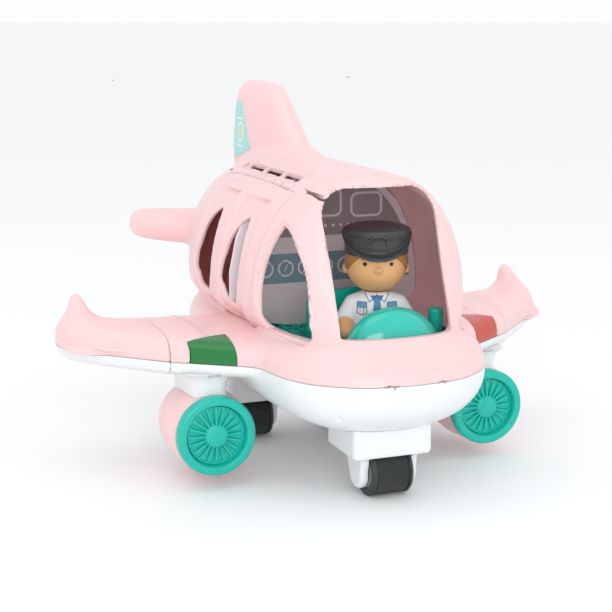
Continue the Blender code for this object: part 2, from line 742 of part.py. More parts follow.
def fan(name, x):
    """A disc whose front face carries a hub and radial blades."""
    back = ENGINE_FRONT_Y + RING_DEPTH - 0.6 * MM
    steps = BLADES * 2
    profile = (
        (1.5 * MM, 5.6),
        (6 * MM, 5.2),
        (8.6 * MM, 4.2),
        (9.2 * MM, 2.0),
        (FAN_R - 1 * MM, 2.0),
        (FAN_R, 1.6),
    )
    rings = []
    for radius, raised in profile:
        ring = []
        for step in range(steps):
            angle = math.tau * step / steps
            rib = 1.6 if radius > 9 * MM and step % 2 else 0.0
            ring.append(
                (
                    x + radius * math.cos(angle),
                    back - (raised + rib) * MM,
                    ENGINE_Z + radius * math.sin(angle),
                )
            )
        rings.append(ring)
    rings.append([(px, back, pz) for px, _, pz in rings[-1]])
    return loft(name, rings, TEAL)


for side, sign in SIDES:
    x = sign * ENGINE_X
    nacelle = nacelle_form("engine_nacelle_" + side, x, 0.0, PINK)
    hollow = nacelle_form("nacelle_hollow_" + side, x, -WALL)
    mouth = rod(
        "nacelle_mouth_" + side,
        (x, ENGINE_FRONT_Y, ENGINE_Z),
        (x, ENGINE_FRONT_Y + RING_DEPTH + 3 * MM, ENGINE_Z),
        NACELLE_R * 0.895 - WALL,
        steps=20,
    )
    tail_stop = block(
        "nacelle_tail_stop_" + side,
        (x - 40 * MM, ENGINE_FRONT_Y + NACELLE_LENGTH - 2 * MM, -0.1),
        (x + 40 * MM, 0.1, 0.1),
    )
    cut(hollow, tail_stop)
    cut(nacelle, hollow, mouth)
    ring_profile = [
        (FAN_R + FIT, RING_DEPTH),
        (FAN_R + FIT, 1.8 * MM),
        (FAN_R + 2.6 * MM, 0),
        (INTAKE_R - 2.2 * MM, 0),
        (INTAKE_R - 0.6 * MM, 1 * MM),
        (INTAKE_R, 2.8 * MM),
        (INTAKE_R, RING_DEPTH),
    ]
    steps = 26
    points = []
    for radius, distance in ring_profile:
        for step in range(steps):
            angle = math.tau * step / steps
            points.append(
                (
                    x + radius * math.cos(angle),
                    ENGINE_FRONT_Y + distance,
                    ENGINE_Z + radius * math.sin(angle),
                )
            )
    rows = len(ring_profile)
    faces = [
        (
            row * steps + i,
            row * steps + (i + 1) % steps,
            (row + 1) % rows * steps + (i + 1) % steps,
            (row + 1) % rows * steps + i,
        )
        for row in range(rows)
        for i in range(steps)
    ]
    shape("intake_ring_" + side, points, faces, TEAL)
    fan("engine_fan_" + side, x)
    pylon = block(
        "engine_pylon_" + side,
        (x - 10 * MM, ENGINE_FRONT_Y + 10 * MM, ENGINE_Z + 14 * MM),
        (x + 10 * MM, ENGINE_FRONT_Y + 56 * MM, PARTING_Z - 4 * MM),
        WHITE,
        4 * MM,
    )
    cut(pylon, nacelle_form("nacelle_seat_" + side, x, FIT), wing_seat)

# Cabin fittings
floor_top = FLOOR_Z + FLOOR_THICK
FLOOR_FRONT_Y = -128 * MM
FLOOR_REAR_Y = 60 * MM


def floor_outline(inset):
    """Half widths of the room at the floor's upper face, station by station."""
    edge = []
    for y, half, _, top in BELLY_STATIONS:
        if FLOOR_FRONT_Y <= y <= FLOOR_REAR_Y:
            share = (floor_top - PARTING_Z) / (top - PARTING_Z - inset)
            edge.append(((half - inset) * (1 - share**SQUARENESS) ** (1 / SQUARENESS), inward(y, inset)))
    return edge + [(-x, y) for x, y in reversed(edge)]


outline = floor_outline(WALL + 2 * SLIP)
cabin_floor = loft("cabin_floor", [[(x, y, z) for x, y in outline] for z in (FLOOR_Z, floor_top)], TEAL)
peg = rod(
    "pilot_peg",
    (PILOT_X, PILOT_Y, floor_top - 1 * MM),
    (PILOT_X, PILOT_Y, floor_top + 8 * MM),
    PEG_R,
    steps=20,
)
join(cabin_floor, peg)
BUTTON_X = 3 * MM
BUTTON_Y = -112 * MM
button_hole = rod(
    "button_hole", (BUTTON_X, BUTTON_Y, FLOOR_Z - 5 * MM), (BUTTON_X, BUTTON_Y, floor_top + 5 * MM), 6 * MM
)
cut(cabin_floor, button_hole)

bulkhead = cabin_form("bulkhead", WALL + SLIP)
bulkhead.hide_render = False
bulkhead.display_type = "TEXTURED"
bulkhead.data.materials.append(GREY)
keep_inside(
    bulkhead, block("bulkhead_slab", (-0.1, BULKHEAD_Y, floor_top + FIT), (0.1, BULKHEAD_Y + 2.4 * MM, 0.2))
)
hinge_room = block("hinge_room", (HINGE_X - 12 * MM, -0.1, 156 * MM), (HINGE_X + 12 * MM, 0.1, 0.2))
cut(bulkhead, hinge_room)


def seat(name, x, y, half_width, height, depth):
    """A moulded seat: a cushion block and an upright back."""
    base = block(
        name,
        (x - half_width, y - depth, floor_top + FIT),
        (x + half_width, y, floor_top + 8 * MM),
        TEAL,
        2 * MM,
    )
    back = block(
        name + "_back",
        (x - half_width, y - 1 * MM, floor_top + FIT),
        (x + half_width, y + 4.5 * MM, floor_top + height),
        None,
        2 * MM,
    )
    return join(base, back)


seat("pilot_seat", 0, -62 * MM, 28 * MM, 30 * MM, 6 * MM)
seat("passenger_seat_front", -24 * MM, 10 * MM, 13 * MM, 32 * MM, 20 * MM)
seat("passenger_seat_rear", -24 * MM, 50 * MM, 13 * MM, 32 * MM, 20 * MM)
lever = turned(
    "control_lever",
    [(4.2 * MM, 0), (4.2 * MM, 13 * MM), (3.4 * MM, 15 * MM), (1 * MM, 15.6 * MM)],
    (38 * MM, -96 * MM, floor_top + FIT),
    "Z",
    TEAL,
    20,
)

# Sound button: a wide dome on a stem through the floor
DOME_RINGS = 7
dome_rings = []
for step in range(DOME_RINGS):
    angle = math.radians(4 + 82 * step / (DOME_RINGS - 1))
    height = floor_top + BUTTON_TRAVEL + 0.8 * MM + 25 * MM * math.sin(math.radians(90) - angle) ** 0.9
    ring = oval(
        27 * MM * math.sin(angle), 14.5 * MM * math.sin(angle), 14.5 * MM * math.sin(angle), 2.0, 24
    )
    dome_rings.append([(BUTTON_X + a, BUTTON_Y + b, height) for a, b in ring])
dome_rings.append([(px, py, floor_top + BUTTON_TRAVEL + FIT) for px, py, _ in dome_rings[-1]])
sound_button = loft("sound_button", dome_rings, TEAL)
stem = rod(
    "button_stem",
    (BUTTON_X, BUTTON_Y, FLOOR_Z - 4 * MM),
    (BUTTON_X, BUTTON_Y, floor_top + 8 * MM),
    6 * MM - SLIP,
    steps=20,
)
join(sound_button, stem)

# Pilot figure: body with arms, head and cap, turned towards starboard
PILOT_BASE = floor_top + FIT


def figure_ring(z, half_x, half_y, lean_y=0.0):
    turn = Matrix.Rotation(PILOT_TURN, 3, "Z")
    ring = []
    for a, b in oval(half_x, half_y, half_y, 2.4, 18):
        place = turn @ Vector((a, b + lean_y, 0))
        ring.append((PILOT_X + place.x, PILOT_Y + place.y, z))
    return ring


torso = [
    (0, 15, 11), (4, 16, 12), (14, 15, 11.5), (22, 16.5, 11.5), (27, 15, 10), (30.5, 9, 8), (31.6, 7, 6.5)
]
pilot_body = loft(
    "pilot_body", [figure_ring(PILOT_BASE + h * MM, a * MM, b * MM) for h, a, b in torso], WHITE
)
for sign in (-1, 1):
    shoulder = Matrix.Rotation(PILOT_TURN, 3, "Z") @ Vector((sign * 15 * MM, 0, 0))
    hand = Matrix.Rotation(PILOT_TURN, 3, "Z") @ Vector((sign * 19 * MM, -7 * MM, 0))
    top = Vector((PILOT_X + shoulder.x, PILOT_Y + shoulder.y, PILOT_BASE + 24 * MM))
    tip = Vector((PILOT_X + hand.x, PILOT_Y + hand.y, PILOT_BASE + 10 * MM))
    rings = []
    for share, radius in ((-0.12, 3), (0.0, 5), (0.35, 5.4), (0.7, 4.4), (1.0, 4.2), (1.12, 2.4)):
        centre = top.lerp(tip, share)
        rings.append(
            [
                (
                    centre.x + radius * MM * math.cos(math.tau * k / 12),
                    centre.y + radius * MM * math.sin(math.tau * k / 12),
                    centre.z,
                )
                for k in range(12)
            ]
        )
    join(pilot_body, loft(f"pilot_arm_{sign}", rings))
socket = rod(
    "pilot_socket",
    (PILOT_X, PILOT_Y, PILOT_BASE - 5 * MM),
    (PILOT_X, PILOT_Y, PILOT_BASE + 14 * MM),
    PEG_R + SLIP,
)
cut(pilot_body, socket)
HEAD_HEIGHT = 21.5 * MM
head_base = PILOT_BASE + 31.6 * MM + FIT
HEAD = [(0, 7), (2, 12), (6, 16.2), (11, 18.2), (16, 18.6), (HEAD_HEIGHT / MM, 18.2)]
loft("pilot_head", [figure_ring(head_base + h * MM, r * MM, r * MM * 0.94) for h, r in HEAD], SKIN)
cap_base = head_base + HEAD_HEIGHT + FIT
CAP = [(0, 18.8), (3, 19.2), (7, 20), (12, 21.6), (15.5, 19), (18, 12), (18.8, 5)]
pilot_cap = loft(
    "pilot_cap", [figure_ring(cap_base + h * MM, r * MM, r * MM * 0.94) for h, r in CAP], CAP_BLACK
)
brim_rings = [figure_ring(cap_base + h * MM, 15 * MM, 13 * MM, -11 * MM) for h in (0.1, 1.9)]
join(pilot_cap, loft("pilot_cap_brim", brim_rings))

# Batteries, their box and cover, board, speaker and switch
half_width = CELLS * CELL_R + (CELLS - 1) * SLIP / 2 + SLIP
half_length = CELL_LENGTH / 2 + 2 * MM
cell_z = HULL_Z + COVER_THICK + 4 * MM + CELL_R
box_low = HULL_Z + COVER_THICK + 2 * MM
box_high = cell_z + CELL_R + SLIP + BOX_WALL
battery_box = block(
    "battery_box",
    (-half_width - BOX_WALL, BATTERY_Y - half_length - BOX_WALL, box_low),
    (half_width + BOX_WALL, BATTERY_Y + half_length + BOX_WALL, box_high),
    WHITE,
)
screw_y = BATTERY_Y - half_length - 7 * MM
boss = block(
    "cover_boss",
    (-4.5 * MM, screw_y - 4.5 * MM, box_low),
    (4.5 * MM, BATTERY_Y - half_length, box_high - 1 * MM),
)
join(battery_box, boss)
bay = block(
    "battery_bay",
    (-half_width, BATTERY_Y - half_length, box_low - 5 * MM),
    (half_width, BATTERY_Y + half_length, box_high - BOX_WALL),
)
cut(
    battery_box,
    bay,
    rod("boss_hole", (0, screw_y, box_low - 5 * MM), (0, screw_y, box_high - 4 * MM), SCREW_R + FIT),
)
for number in range(CELLS):
    x = (number - (CELLS - 1) / 2) * (2 * CELL_R + SLIP / 2)
    profile = [
        (CELL_R, 0),
        (CELL_R, CELL_LENGTH - 1.5 * MM),
        (2.6 * MM, CELL_LENGTH - 1.4 * MM),
        (2.6 * MM, CELL_LENGTH),
    ]
    turned(f"battery_cell_{number + 1}", profile, (x, BATTERY_Y - CELL_LENGTH / 2, cell_z), "Y", STEEL, 24)
cover_half = half_width - 2 * MM
cover_front = screw_y - 4 * MM
cover_rear = BATTERY_Y + half_length - 1 * MM
battery_cover = block(
    "battery_cover",
    (-cover_half + SLIP, cover_front + SLIP, HULL_Z + FIT),
    (cover_half - SLIP, cover_rear - SLIP, HULL_Z + COVER_THICK),
    WHITE,
)
cut(lower_hull, block("cover_opening", (-cover_half, cover_front, 0), (cover_half, cover_rear, 60 * MM)))
head_top = HULL_Z + 1.9 * MM
cut(
    battery_cover,
    rod("screw_head_seat", (0, screw_y, 0.02), (0, screw_y, head_top + 0.1 * MM), 2.6 * MM + FIT),
    rod("screw_shank_hole", (0, screw_y, 0.02), (0, screw_y, 0.06), SCREW_R + FIT),
)
screw_profile = [
    (2.6 * MM, 0), (2.6 * MM, 1.2 * MM), (SCREW_R, 1.5 * MM), (SCREW_R, 13 * MM), (0.4 * MM, 14 * MM)
]
turned("cover_screw", screw_profile, (0, screw_y, HULL_Z + 0.5 * MM), "Z", STEEL, 16)
board_z = box_high + 1 * MM
block(
    "circuit_board",
    (-19 * MM, BATTERY_Y - 24 * MM, board_z),
    (19 * MM, BATTERY_Y + 24 * MM, board_z + 1.6 * MM),
    BOARD,
)
speaker_y = 48 * MM
speaker_z = HULL_Z + 11 * MM
speaker_profile = [
    (13.5 * MM, 0), (14 * MM, 1 * MM), (14 * MM, 3 * MM), (8 * MM, 6 * MM), (6.5 * MM, 9 * MM)
]
turned("speaker", speaker_profile, (0, speaker_y, speaker_z), "Z", GREY, 28)
for a, b in ((0, 0), (4, 0), (-4, 0), (2, 3.5), (-2, 3.5), (2, -3.5), (-2, -3.5)):
    hole = (a * MM, speaker_y + b * MM)
    cut(
        lower_hull,
        rod(f"speaker_hole_{a}_{b}", (*hole, 0.02), (*hole, speaker_z - 2 * MM), 0.9 * MM, steps=8),
    )
switch_slot = block(
    "switch_slot",
    (-3 * MM - FIT, SWITCH_Y - 4 * MM - FIT, 0.02),
    (3 * MM + FIT, SWITCH_Y + 4 * MM + SWITCH_TRAVEL + FIT, 0.05),
)
cut(lower_hull, switch_slot)
block(
    "power_switch",
    (-3 * MM, SWITCH_Y - 4 * MM, HULL_Z - 1.2 * MM),
    (3 * MM, SWITCH_Y + 4 * MM, HULL_Z + 6 * MM),
    GREY,
)

# Screws that hold the two halves together through the wing roots
SHELL_SCREW_X = 74 * MM
SHELL_SCREW_Y = -4 * MM
for side, sign in SIDES:
    x = sign * SHELL_SCREW_X
    low = PARTING_Z - WING_DEPTH
    join(
        lower_hull,
        rod(
            "hull_boss_" + side,
            (x, SHELL_SCREW_Y, low + 1 * MM),
            (x, SHELL_SCREW_Y, PARTING_Z - FIT / 2),
            4 * MM,
        ),
    )
    cut(
        lower_hull,
        rod(
            "head_seat_" + side,
            (x, SHELL_SCREW_Y, low - 5 * MM),
            (x, SHELL_SCREW_Y, low + 2.4 * MM),
            2.6 * MM + FIT,
        ),
        rod(
            "shank_hole_" + side,
            (x, SHELL_SCREW_Y, low - 5 * MM),
            (x, SHELL_SCREW_Y, PARTING_Z + 1 * MM),
            SCREW_R + FIT,
        ),
    )
    join(
        upper_shell,
        rod(
            "shell_boss_" + side,
            (x, SHELL_SCREW_Y, PARTING_Z + FIT / 2),
            (x, SHELL_SCREW_Y, PARTING_Z + WING_TOP - 1 * MM),
            4 * MM,
        ),
    )
    cut(
        upper_shell,
        rod(
            "thread_" + side,
            (x, SHELL_SCREW_Y, PARTING_Z - 1 * MM),
            (x, SHELL_SCREW_Y, PARTING_Z + 11 * MM),
            SCREW_R + FIT,
        ),
    )
    turned("shell_screw_" + side, screw_profile, (x, SHELL_SCREW_Y, low + 0.9 * MM), "Z", STEEL, 16)
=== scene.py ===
import json
import math

import bpy
import numpy as np
from mathutils import Matrix, Vector


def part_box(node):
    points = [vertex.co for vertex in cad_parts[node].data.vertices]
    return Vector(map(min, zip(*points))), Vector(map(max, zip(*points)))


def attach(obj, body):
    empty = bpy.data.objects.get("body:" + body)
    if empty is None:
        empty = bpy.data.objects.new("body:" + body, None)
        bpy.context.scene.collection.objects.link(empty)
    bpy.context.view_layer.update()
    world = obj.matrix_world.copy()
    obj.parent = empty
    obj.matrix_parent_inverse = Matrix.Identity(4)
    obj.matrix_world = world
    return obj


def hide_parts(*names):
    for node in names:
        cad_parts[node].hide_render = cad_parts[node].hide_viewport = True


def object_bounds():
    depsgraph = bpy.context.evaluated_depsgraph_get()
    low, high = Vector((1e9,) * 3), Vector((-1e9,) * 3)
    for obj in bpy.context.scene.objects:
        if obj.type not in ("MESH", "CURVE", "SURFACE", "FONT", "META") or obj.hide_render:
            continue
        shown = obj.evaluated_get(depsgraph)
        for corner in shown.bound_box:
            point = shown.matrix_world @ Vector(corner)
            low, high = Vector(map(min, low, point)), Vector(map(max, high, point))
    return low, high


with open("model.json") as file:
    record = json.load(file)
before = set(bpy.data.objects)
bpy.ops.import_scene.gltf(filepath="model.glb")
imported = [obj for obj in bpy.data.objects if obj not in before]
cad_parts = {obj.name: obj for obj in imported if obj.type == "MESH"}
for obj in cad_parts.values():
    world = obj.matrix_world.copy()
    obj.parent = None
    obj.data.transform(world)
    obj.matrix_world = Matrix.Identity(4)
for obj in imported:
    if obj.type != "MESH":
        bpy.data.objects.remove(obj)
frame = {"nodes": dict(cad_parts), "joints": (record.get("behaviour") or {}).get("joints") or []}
cad_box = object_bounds()

# Table top, daylight box and camera: the toy stands on seamless white card under
# a large soft overhead lamp, with a second soft lamp low on the nose side.
SEAMLESS_WHITE = (0.93, 0.93, 0.935)
CARD_REACH = 60

card_mesh = bpy.data.meshes.new("white_card")
card_mesh.from_pydata(
    [(CARD_REACH * a, CARD_REACH * b, 0) for a, b in ((-1, -1), (1, -1), (1, 1), (-1, 1))],
    [],
    [(0, 1, 2, 3)],
)
white_card = bpy.data.objects.new("white_card", card_mesh)
bpy.context.scene.collection.objects.link(white_card)
card_finish = bpy.data.materials.new("white_card_finish")
card_finish.use_nodes = True
card_shader = card_finish.node_tree.nodes["Principled BSDF"]
card_shader.inputs["Base Color"].default_value = (*SEAMLESS_WHITE, 1)
card_shader.inputs["Roughness"].default_value = 0.75
card_shader.inputs["Specular IOR Level"].default_value = 0.2
card_mesh.materials.append(card_finish)

room_light = bpy.data.worlds.new("white_room")
room_light.use_nodes = True
room_light.node_tree.nodes["Background"].inputs["Color"].default_value = (0.97, 0.985, 1.0, 1)
room_light.node_tree.nodes["Background"].inputs["Strength"].default_value = 1.0
bpy.context.scene.world = room_light
bpy.context.scene.view_settings.view_transform = "Standard"


def soft_lamp(name, place, aim, width, power):
    """A square studio lamp at place that faces aim."""
    lamp = bpy.data.lights.new(name, "AREA")
    lamp.size = width
    lamp.energy = power
    hung = bpy.data.objects.new(name, lamp)
    bpy.context.scene.collection.objects.link(hung)
    hung.location = place
    hung.rotation_euler = (Vector(aim) - Vector(place)).to_track_quat("-Z", "Y").to_euler()


soft_lamp("overhead_softbox", (-0.3, -0.1, 1.5), (0, 0, 0.1), 1.0, 1.8)
soft_lamp("nose_side_softbox", (-0.5, -1.6, 0.55), (0, -0.05, 0.12), 0.9, 8)

LENS_MM = 83.9
CAMERA_PLACE = Vector((-0.3277, -0.8184, 0.2667))
CAMERA_AZIMUTH = math.radians(-21.54)
CAMERA_ELEVATION = math.radians(11.46)
CAMERA_ROLL = math.radians(0.11)

eye = bpy.data.cameras.new("eye")
eye.lens = LENS_MM
camera = bpy.data.objects.new("eye", eye)
bpy.context.scene.collection.objects.link(camera)
back = Vector((
    math.sin(CAMERA_AZIMUTH) * math.cos(CAMERA_ELEVATION),
    -math.cos(CAMERA_AZIMUTH) * math.cos(CAMERA_ELEVATION),
    math.sin(CAMERA_ELEVATION),
))
camera.location = CAMERA_PLACE
camera.rotation_euler = (
    back.to_track_quat("Z", "Y") @ Matrix.Rotation(CAMERA_ROLL, 3, "Z").to_quaternion()
).to_euler()
bpy.context.scene.camera = camera

# Upper shell: one pink moulding of soft plastic, with the fin, tailplanes and
# inner wings flowing into the cabin. It is screwed down on the hull along a level seam.
# Its sizes are in millimetres, and each form is a distance: below zero inside the plastic.
WALL = 3.0
SEAM = 0.15
CELL = 1.2


def mm(corner):
    return np.array(corner) * 1000


SHELL_LOW, SHELL_HIGH = (mm(corner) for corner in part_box("upper_shell"))
PARTING = (SHELL_LOW[2] + mm(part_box("lower_hull")[1])[2]) / 2
WING_JOINT = SHELL_HIGH[0]
HALF_SPAN = mm(cad_box[1])[0]
NOSE, TAIL = mm(cad_box[0])[1], mm(cad_box[1])[1]
FIN_TOP = mm(cad_box[1])[2]
ROOF = SHELL_HIGH[2]
BOTTOM = mm(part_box("lower_hull")[0])[2]


def along(at, stations, column):
    """One size of a form, read smoothly between the stations that give it."""
    places = np.array([station[0] for station in stations], float)
    sizes = np.array([station[column] for station in stations], float)
    gaps = np.diff(places)
    slopes = np.diff(sizes) / gaps
    turns = np.zeros(len(sizes))
    steady = slopes[1:] * slopes[:-1] > 0
    turns[1:-1][steady] = 2 * slopes[1:][steady] * slopes[:-1][steady] / (slopes[1:] + slopes[:-1])[steady]
    turns[0], turns[-1] = slopes[0], slopes[-1]
    i = np.clip(np.searchsorted(places, at) - 1, 0, len(gaps) - 1)
    t = np.clip((at - places[i]) / gaps[i], 0, 1)
    start = sizes[i] * (1 + 2 * t) * (1 - t) ** 2 + turns[i] * gaps[i] * t * (1 - t) ** 2
    return start + sizes[i + 1] * t * t * (3 - 2 * t) + turns[i + 1] * gaps[i] * t * t * (t - 1)


def oval(a, b, squareness):
    """Below zero inside a squared oval whose two half sizes have been divided out."""
    return (np.abs(a) ** squareness + np.abs(b) ** squareness) ** (1 / squareness) - 1


def value_and_slope(form, points, step=0.05):
    """A form's value at each point, and how fast it changes along x, y and z there."""
    here = form(*points.T)
    ahead = [form(*(points + step * np.eye(3)[axis]).T) for axis in range(3)]
    return here, np.stack([(value - here) / step for value in ahead], 1)


def evened(form):
    """The same form, with its values turned into distances from its skin."""

    def distance(x, y, z):
        here = form(x, y, z)
        step = 0.2
        slope = (form(x + step, y, z) - here) ** 2 + (form(x, y + step, z) - here) ** 2
        slope = np.sqrt(slope + (form(x, y, z + step) - here) ** 2) / step
        return here / np.maximum(slope, 0.004)

    return distance


def blend(a, b, radius):
    """Two forms as one, with a rounded inner corner where they meet."""
    inner = np.hypot(np.maximum(radius - a, 0), np.maximum(radius - b, 0))
    return np.maximum(radius, np.minimum(a, b)) - inner


def common(a, b, radius):
    """What two forms share, with a rounded edge."""
    return -blend(-a, -b, radius)


def carve(a, b, radius):
    """The first form less the second, with a rounded edge."""
    return -blend(-a, b, radius)


def ramp(value, width):
    """0 up to value 0, then rising smoothly to 1 at width."""
    t = np.clip(value / width, 0, 1)
    return t * t * (3 - 2 * t)


def beyond(u, v, start, end):
    """How far a place lies to the left of the line from start to end."""
    du, dv = end[0] - start[0], end[1] - start[1]
    return ((v - start[1]) * du - (u - start[0]) * dv) / math.hypot(du, dv)


def slab(place, low, high):
    return np.maximum(low - place, place - high)


def bar(u, v, centre, radius):
    return np.hypot(u - centre[0], v - centre[1]) - radius


def mesh_piece(
    name, points, faces, finish, body, stands_for=(), normals=None, smooth_below=None
):
    """A mesh from points in millimetres, with its finish, riding on its body."""
    mesh = bpy.data.meshes.new(name)
    mesh.from_pydata(np.asarray(points, float) / 1000, [], faces)
    mesh.shade_smooth()
    if smooth_below:
        mesh.set_sharp_from_angle(angle=math.radians(smooth_below))
    if normals is not None:
        mesh.normals_split_custom_set(normals)
    piece = bpy.data.objects.new("finished_" + name if stands_for else name, mesh)
    bpy.context.scene.collection.objects.link(piece)
    mesh.materials.append(finish)
    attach(piece, body)
    if stands_for:
        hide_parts(*stands_for)
    return piece


BLOCK = 4


def skin_of(form, low, high, cell):
    """Net of four-sided faces round the places where a form's distance is zero."""
    low = np.array(low, float) - 2 * cell
    blocks = np.ceil((np.array(high) + 2 * cell - low) / (BLOCK * cell)).astype(int) + 1
    middles = [low[k] + (np.arange(blocks[k]) * BLOCK + (BLOCK - 1) / 2) * cell for k in range(3)]
    coarse = form(*np.ix_(*middles)) + np.zeros(blocks)
    near = np.abs(coarse) < 1.9 * BLOCK * cell
    fine = np.ones((BLOCK, BLOCK, BLOCK))
    values = np.kron(coarse, fine)
    spots = np.argwhere(np.kron(near, fine) > 0)
    values[tuple(spots.T)] = form(*(low + spots * cell).T)
    for axis in range(3):
        edges = np.moveaxis(values, axis, 0)
        edges[[0, -1]] = np.abs(edges[[0, -1]]) + 0.1
    corners, places = [], []
    for axis in range(3):
        first = values[tuple(slice(None, -1) if k == axis else slice(None) for k in range(3))]
        last = values[tuple(slice(1, None) if k == axis else slice(None) for k in range(3))]
        cross = np.argwhere((first < 0) != (last < 0))
        start, end = first[tuple(cross.T)], last[tuple(cross.T)]
        place = cross.astype(float)
        place[:, axis] += start / (start - end)
        u, v = [k for k in range(3) if k != axis]
        quad = []
        for du, dv in ((1, 1), (0, 1), (0, 0), (1, 0)):
            spot = cross.copy()
            spot[:, u] -= du
            spot[:, v] -= dv
            quad.append(np.ravel_multi_index(spot.T, values.shape))
        quad = np.stack(quad, 1)
        turned = (start >= 0) != (axis == 1)
        quad[turned] = quad[turned][:, ::-1]
        corners.append(quad)
        places.append(np.repeat(place, 4, axis=0))
    _, index = np.unique(np.concatenate(corners), return_inverse=True)
    index = index.reshape(-1)
    places = np.concatenate(places)
    counts = np.bincount(index)
    points = np.stack([np.bincount(index, places[:, k]) / counts for k in range(3)], 1)
    return low + points * cell, index.reshape(-1, 4)


def on_skin(form, points, most):
    """The points moved onto the form's skin, and the way that skin faces there."""
    value, slope = value_and_slope(form, points)
    size = np.maximum(np.linalg.norm(slope, axis=1), 0.2)
    slope /= size[:, None]
    return points - np.clip(value / size, -most, most)[:, None] * slope, slope


def settled(form, points, faces, cell):
    """Evens out a net, lays it on the form's skin and fits its creases; also gives each corner's normal."""
    ends = np.concatenate([faces, np.roll(faces, 1, axis=1)]).reshape(-1)
    others = np.concatenate([np.roll(faces, 1, axis=1), faces]).reshape(-1)
    counts = np.bincount(ends, minlength=len(points))[:, None]
    around = np.stack([np.bincount(ends, points[others, axis], len(points)) for axis in range(3)], 1)
    points, _ = on_skin(form, points * 0.4 + around / counts * 0.6, cell)
    middles, facing_way = on_skin(form, points[faces].mean(1), cell)
    offsets = (facing_way * middles).sum(1)
    corner = faces.reshape(-1)
    planes = np.repeat(facing_way, 4, axis=0)
    pull = 0.08
    table = np.empty((len(points), 3, 3))
    wanted = points * pull
    for row in range(3):
        wanted[:, row] += np.bincount(corner, planes[:, row] * np.repeat(offsets, 4), len(points))
        for column in range(3):
            weights = np.bincount(corner, planes[:, row] * planes[:, column], len(points))
            table[:, row, column] = weights + pull * (row == column)
    moved = np.linalg.solve(table, wanted[:, :, None])[:, :, 0] - points
    far = np.linalg.norm(moved, axis=1, keepdims=True)
    points = points + moved * np.minimum(1, 0.7 * cell / np.maximum(far, 1e-9))
    mean = np.stack([np.bincount(corner, planes[:, axis], len(points)) for axis in range(3)], 1)
    mean /= np.maximum(np.linalg.norm(mean, axis=1, keepdims=True), 1e-9)
    agreement = (planes * mean[corner]).sum(1)
    crease = np.zeros(len(points), bool)
    crease[corner[agreement < 0.93]] = True
    return points, np.where(crease[corner][:, None], planes, mean[corner])


def mould(name, form, low, high, cell, finish, body, stands_for=()):
    """A piece whose skin is the form's, within a box."""
    points, faces = skin_of(form, low, high, cell)
    points, directions = settled(form, points, faces, cell)
    return mesh_piece(name, points, faces, finish, body, stands_for, directions)


def moulded_grain():
    """Colour drift, sheen drift and a fine skin texture, as injection moulding leaves them."""
    group = bpy.data.node_groups.new("moulded_grain", "ShaderNodeTree")
    face = group.interface
    face.new_socket("Colour", in_out="INPUT", socket_type="NodeSocketColor")
    face.new_socket("Drift colour", in_out="INPUT", socket_type="NodeSocketColor")
    face.new_socket("Roughness", in_out="INPUT", socket_type="NodeSocketFloat")
    face.new_socket("Colour", in_out="OUTPUT", socket_type="NodeSocketColor")
    face.new_socket("Roughness", in_out="OUTPUT", socket_type="NodeSocketFloat")
    face.new_socket("Height", in_out="OUTPUT", socket_type="NodeSocketFloat")
    given = group.nodes.new("NodeGroupInput")
    out = group.nodes.new("NodeGroupOutput")
    place = group.nodes.new("ShaderNodeTexCoord")
    flow = group.nodes.new("ShaderNodeTexNoise")
    flow.inputs["Scale"].default_value = 14
    flow.inputs["Detail"].default_value = 3
    mix = group.nodes.new("ShaderNodeMix")
    mix.data_type = "RGBA"
    handling = group.nodes.new("ShaderNodeTexNoise")
    handling.inputs["Scale"].default_value = 90
    handling.inputs["Detail"].default_value = 4
    span = group.nodes.new("ShaderNodeMapRange")
    span.inputs["From Min"].default_value = 0.3
    span.inputs["From Max"].default_value = 0.7
    span.inputs["To Min"].default_value = -0.05
    span.inputs["To Max"].default_value = 0.06
    total = group.nodes.new("ShaderNodeMath")
    spark = group.nodes.new("ShaderNodeTexNoise")
    spark.inputs["Scale"].default_value = 1500
    spark.inputs["Detail"].default_value = 2
    link = group.links.new
    for texture in (flow, handling, spark):
        link(place.outputs["Object"], texture.inputs["Vector"])
    link(flow.outputs["Fac"], mix.inputs[0])
    link(given.outputs["Colour"], mix.inputs[6])
    link(given.outputs["Drift colour"], mix.inputs[7])
    link(mix.outputs[2], out.inputs["Colour"])
    link(handling.outputs["Fac"], span.inputs["Value"])
    link(span.outputs["Result"], total.inputs[0])
    link(given.outputs["Roughness"], total.inputs[1])
    link(total.outputs["Value"], out.inputs["Roughness"])
    link(spark.outputs["Fac"], out.inputs["Height"])
    return group


MOULDED_GRAIN = moulded_grain()


def plastic(name, colour, roughness=0.32, drift=0.05, skin=0.05, coat=0.0, passing=0.0):
    """Injection-moulded plastic of one colour, more or less polished."""
    made = bpy.data.materials.new(name)
    made.use_nodes = True
    nodes, link = made.node_tree.nodes, made.node_tree.links.new
    shader = nodes["Principled BSDF"]
    grain = nodes.new("ShaderNodeGroup")
    grain.node_tree = MOULDED_GRAIN
    grain.inputs["Colour"].default_value = (*[c * (1 - drift) for c in colour], 1)
    grain.inputs["Drift colour"].default_value = (*[min(1, c * (1 + drift)) for c in colour], 1)
    grain.inputs["Roughness"].default_value = roughness
    bump = nodes.new("ShaderNodeBump")
    bump.inputs["Strength"].default_value = skin
    bump.inputs["Distance"].default_value = 0.0001
    link(grain.outputs["Colour"], shader.inputs["Base Color"])
    link(grain.outputs["Roughness"], shader.inputs["Roughness"])
    link(grain.outputs["Height"], bump.inputs["Height"])
    link(bump.outputs["Normal"], shader.inputs["Normal"])
    shader.inputs["IOR"].default_value = 1.5
    shader.inputs["Coat Weight"].default_value = coat
    shader.inputs["Coat Roughness"].default_value = 0.06
    shader.inputs["Transmission Weight"].default_value = passing
    return made


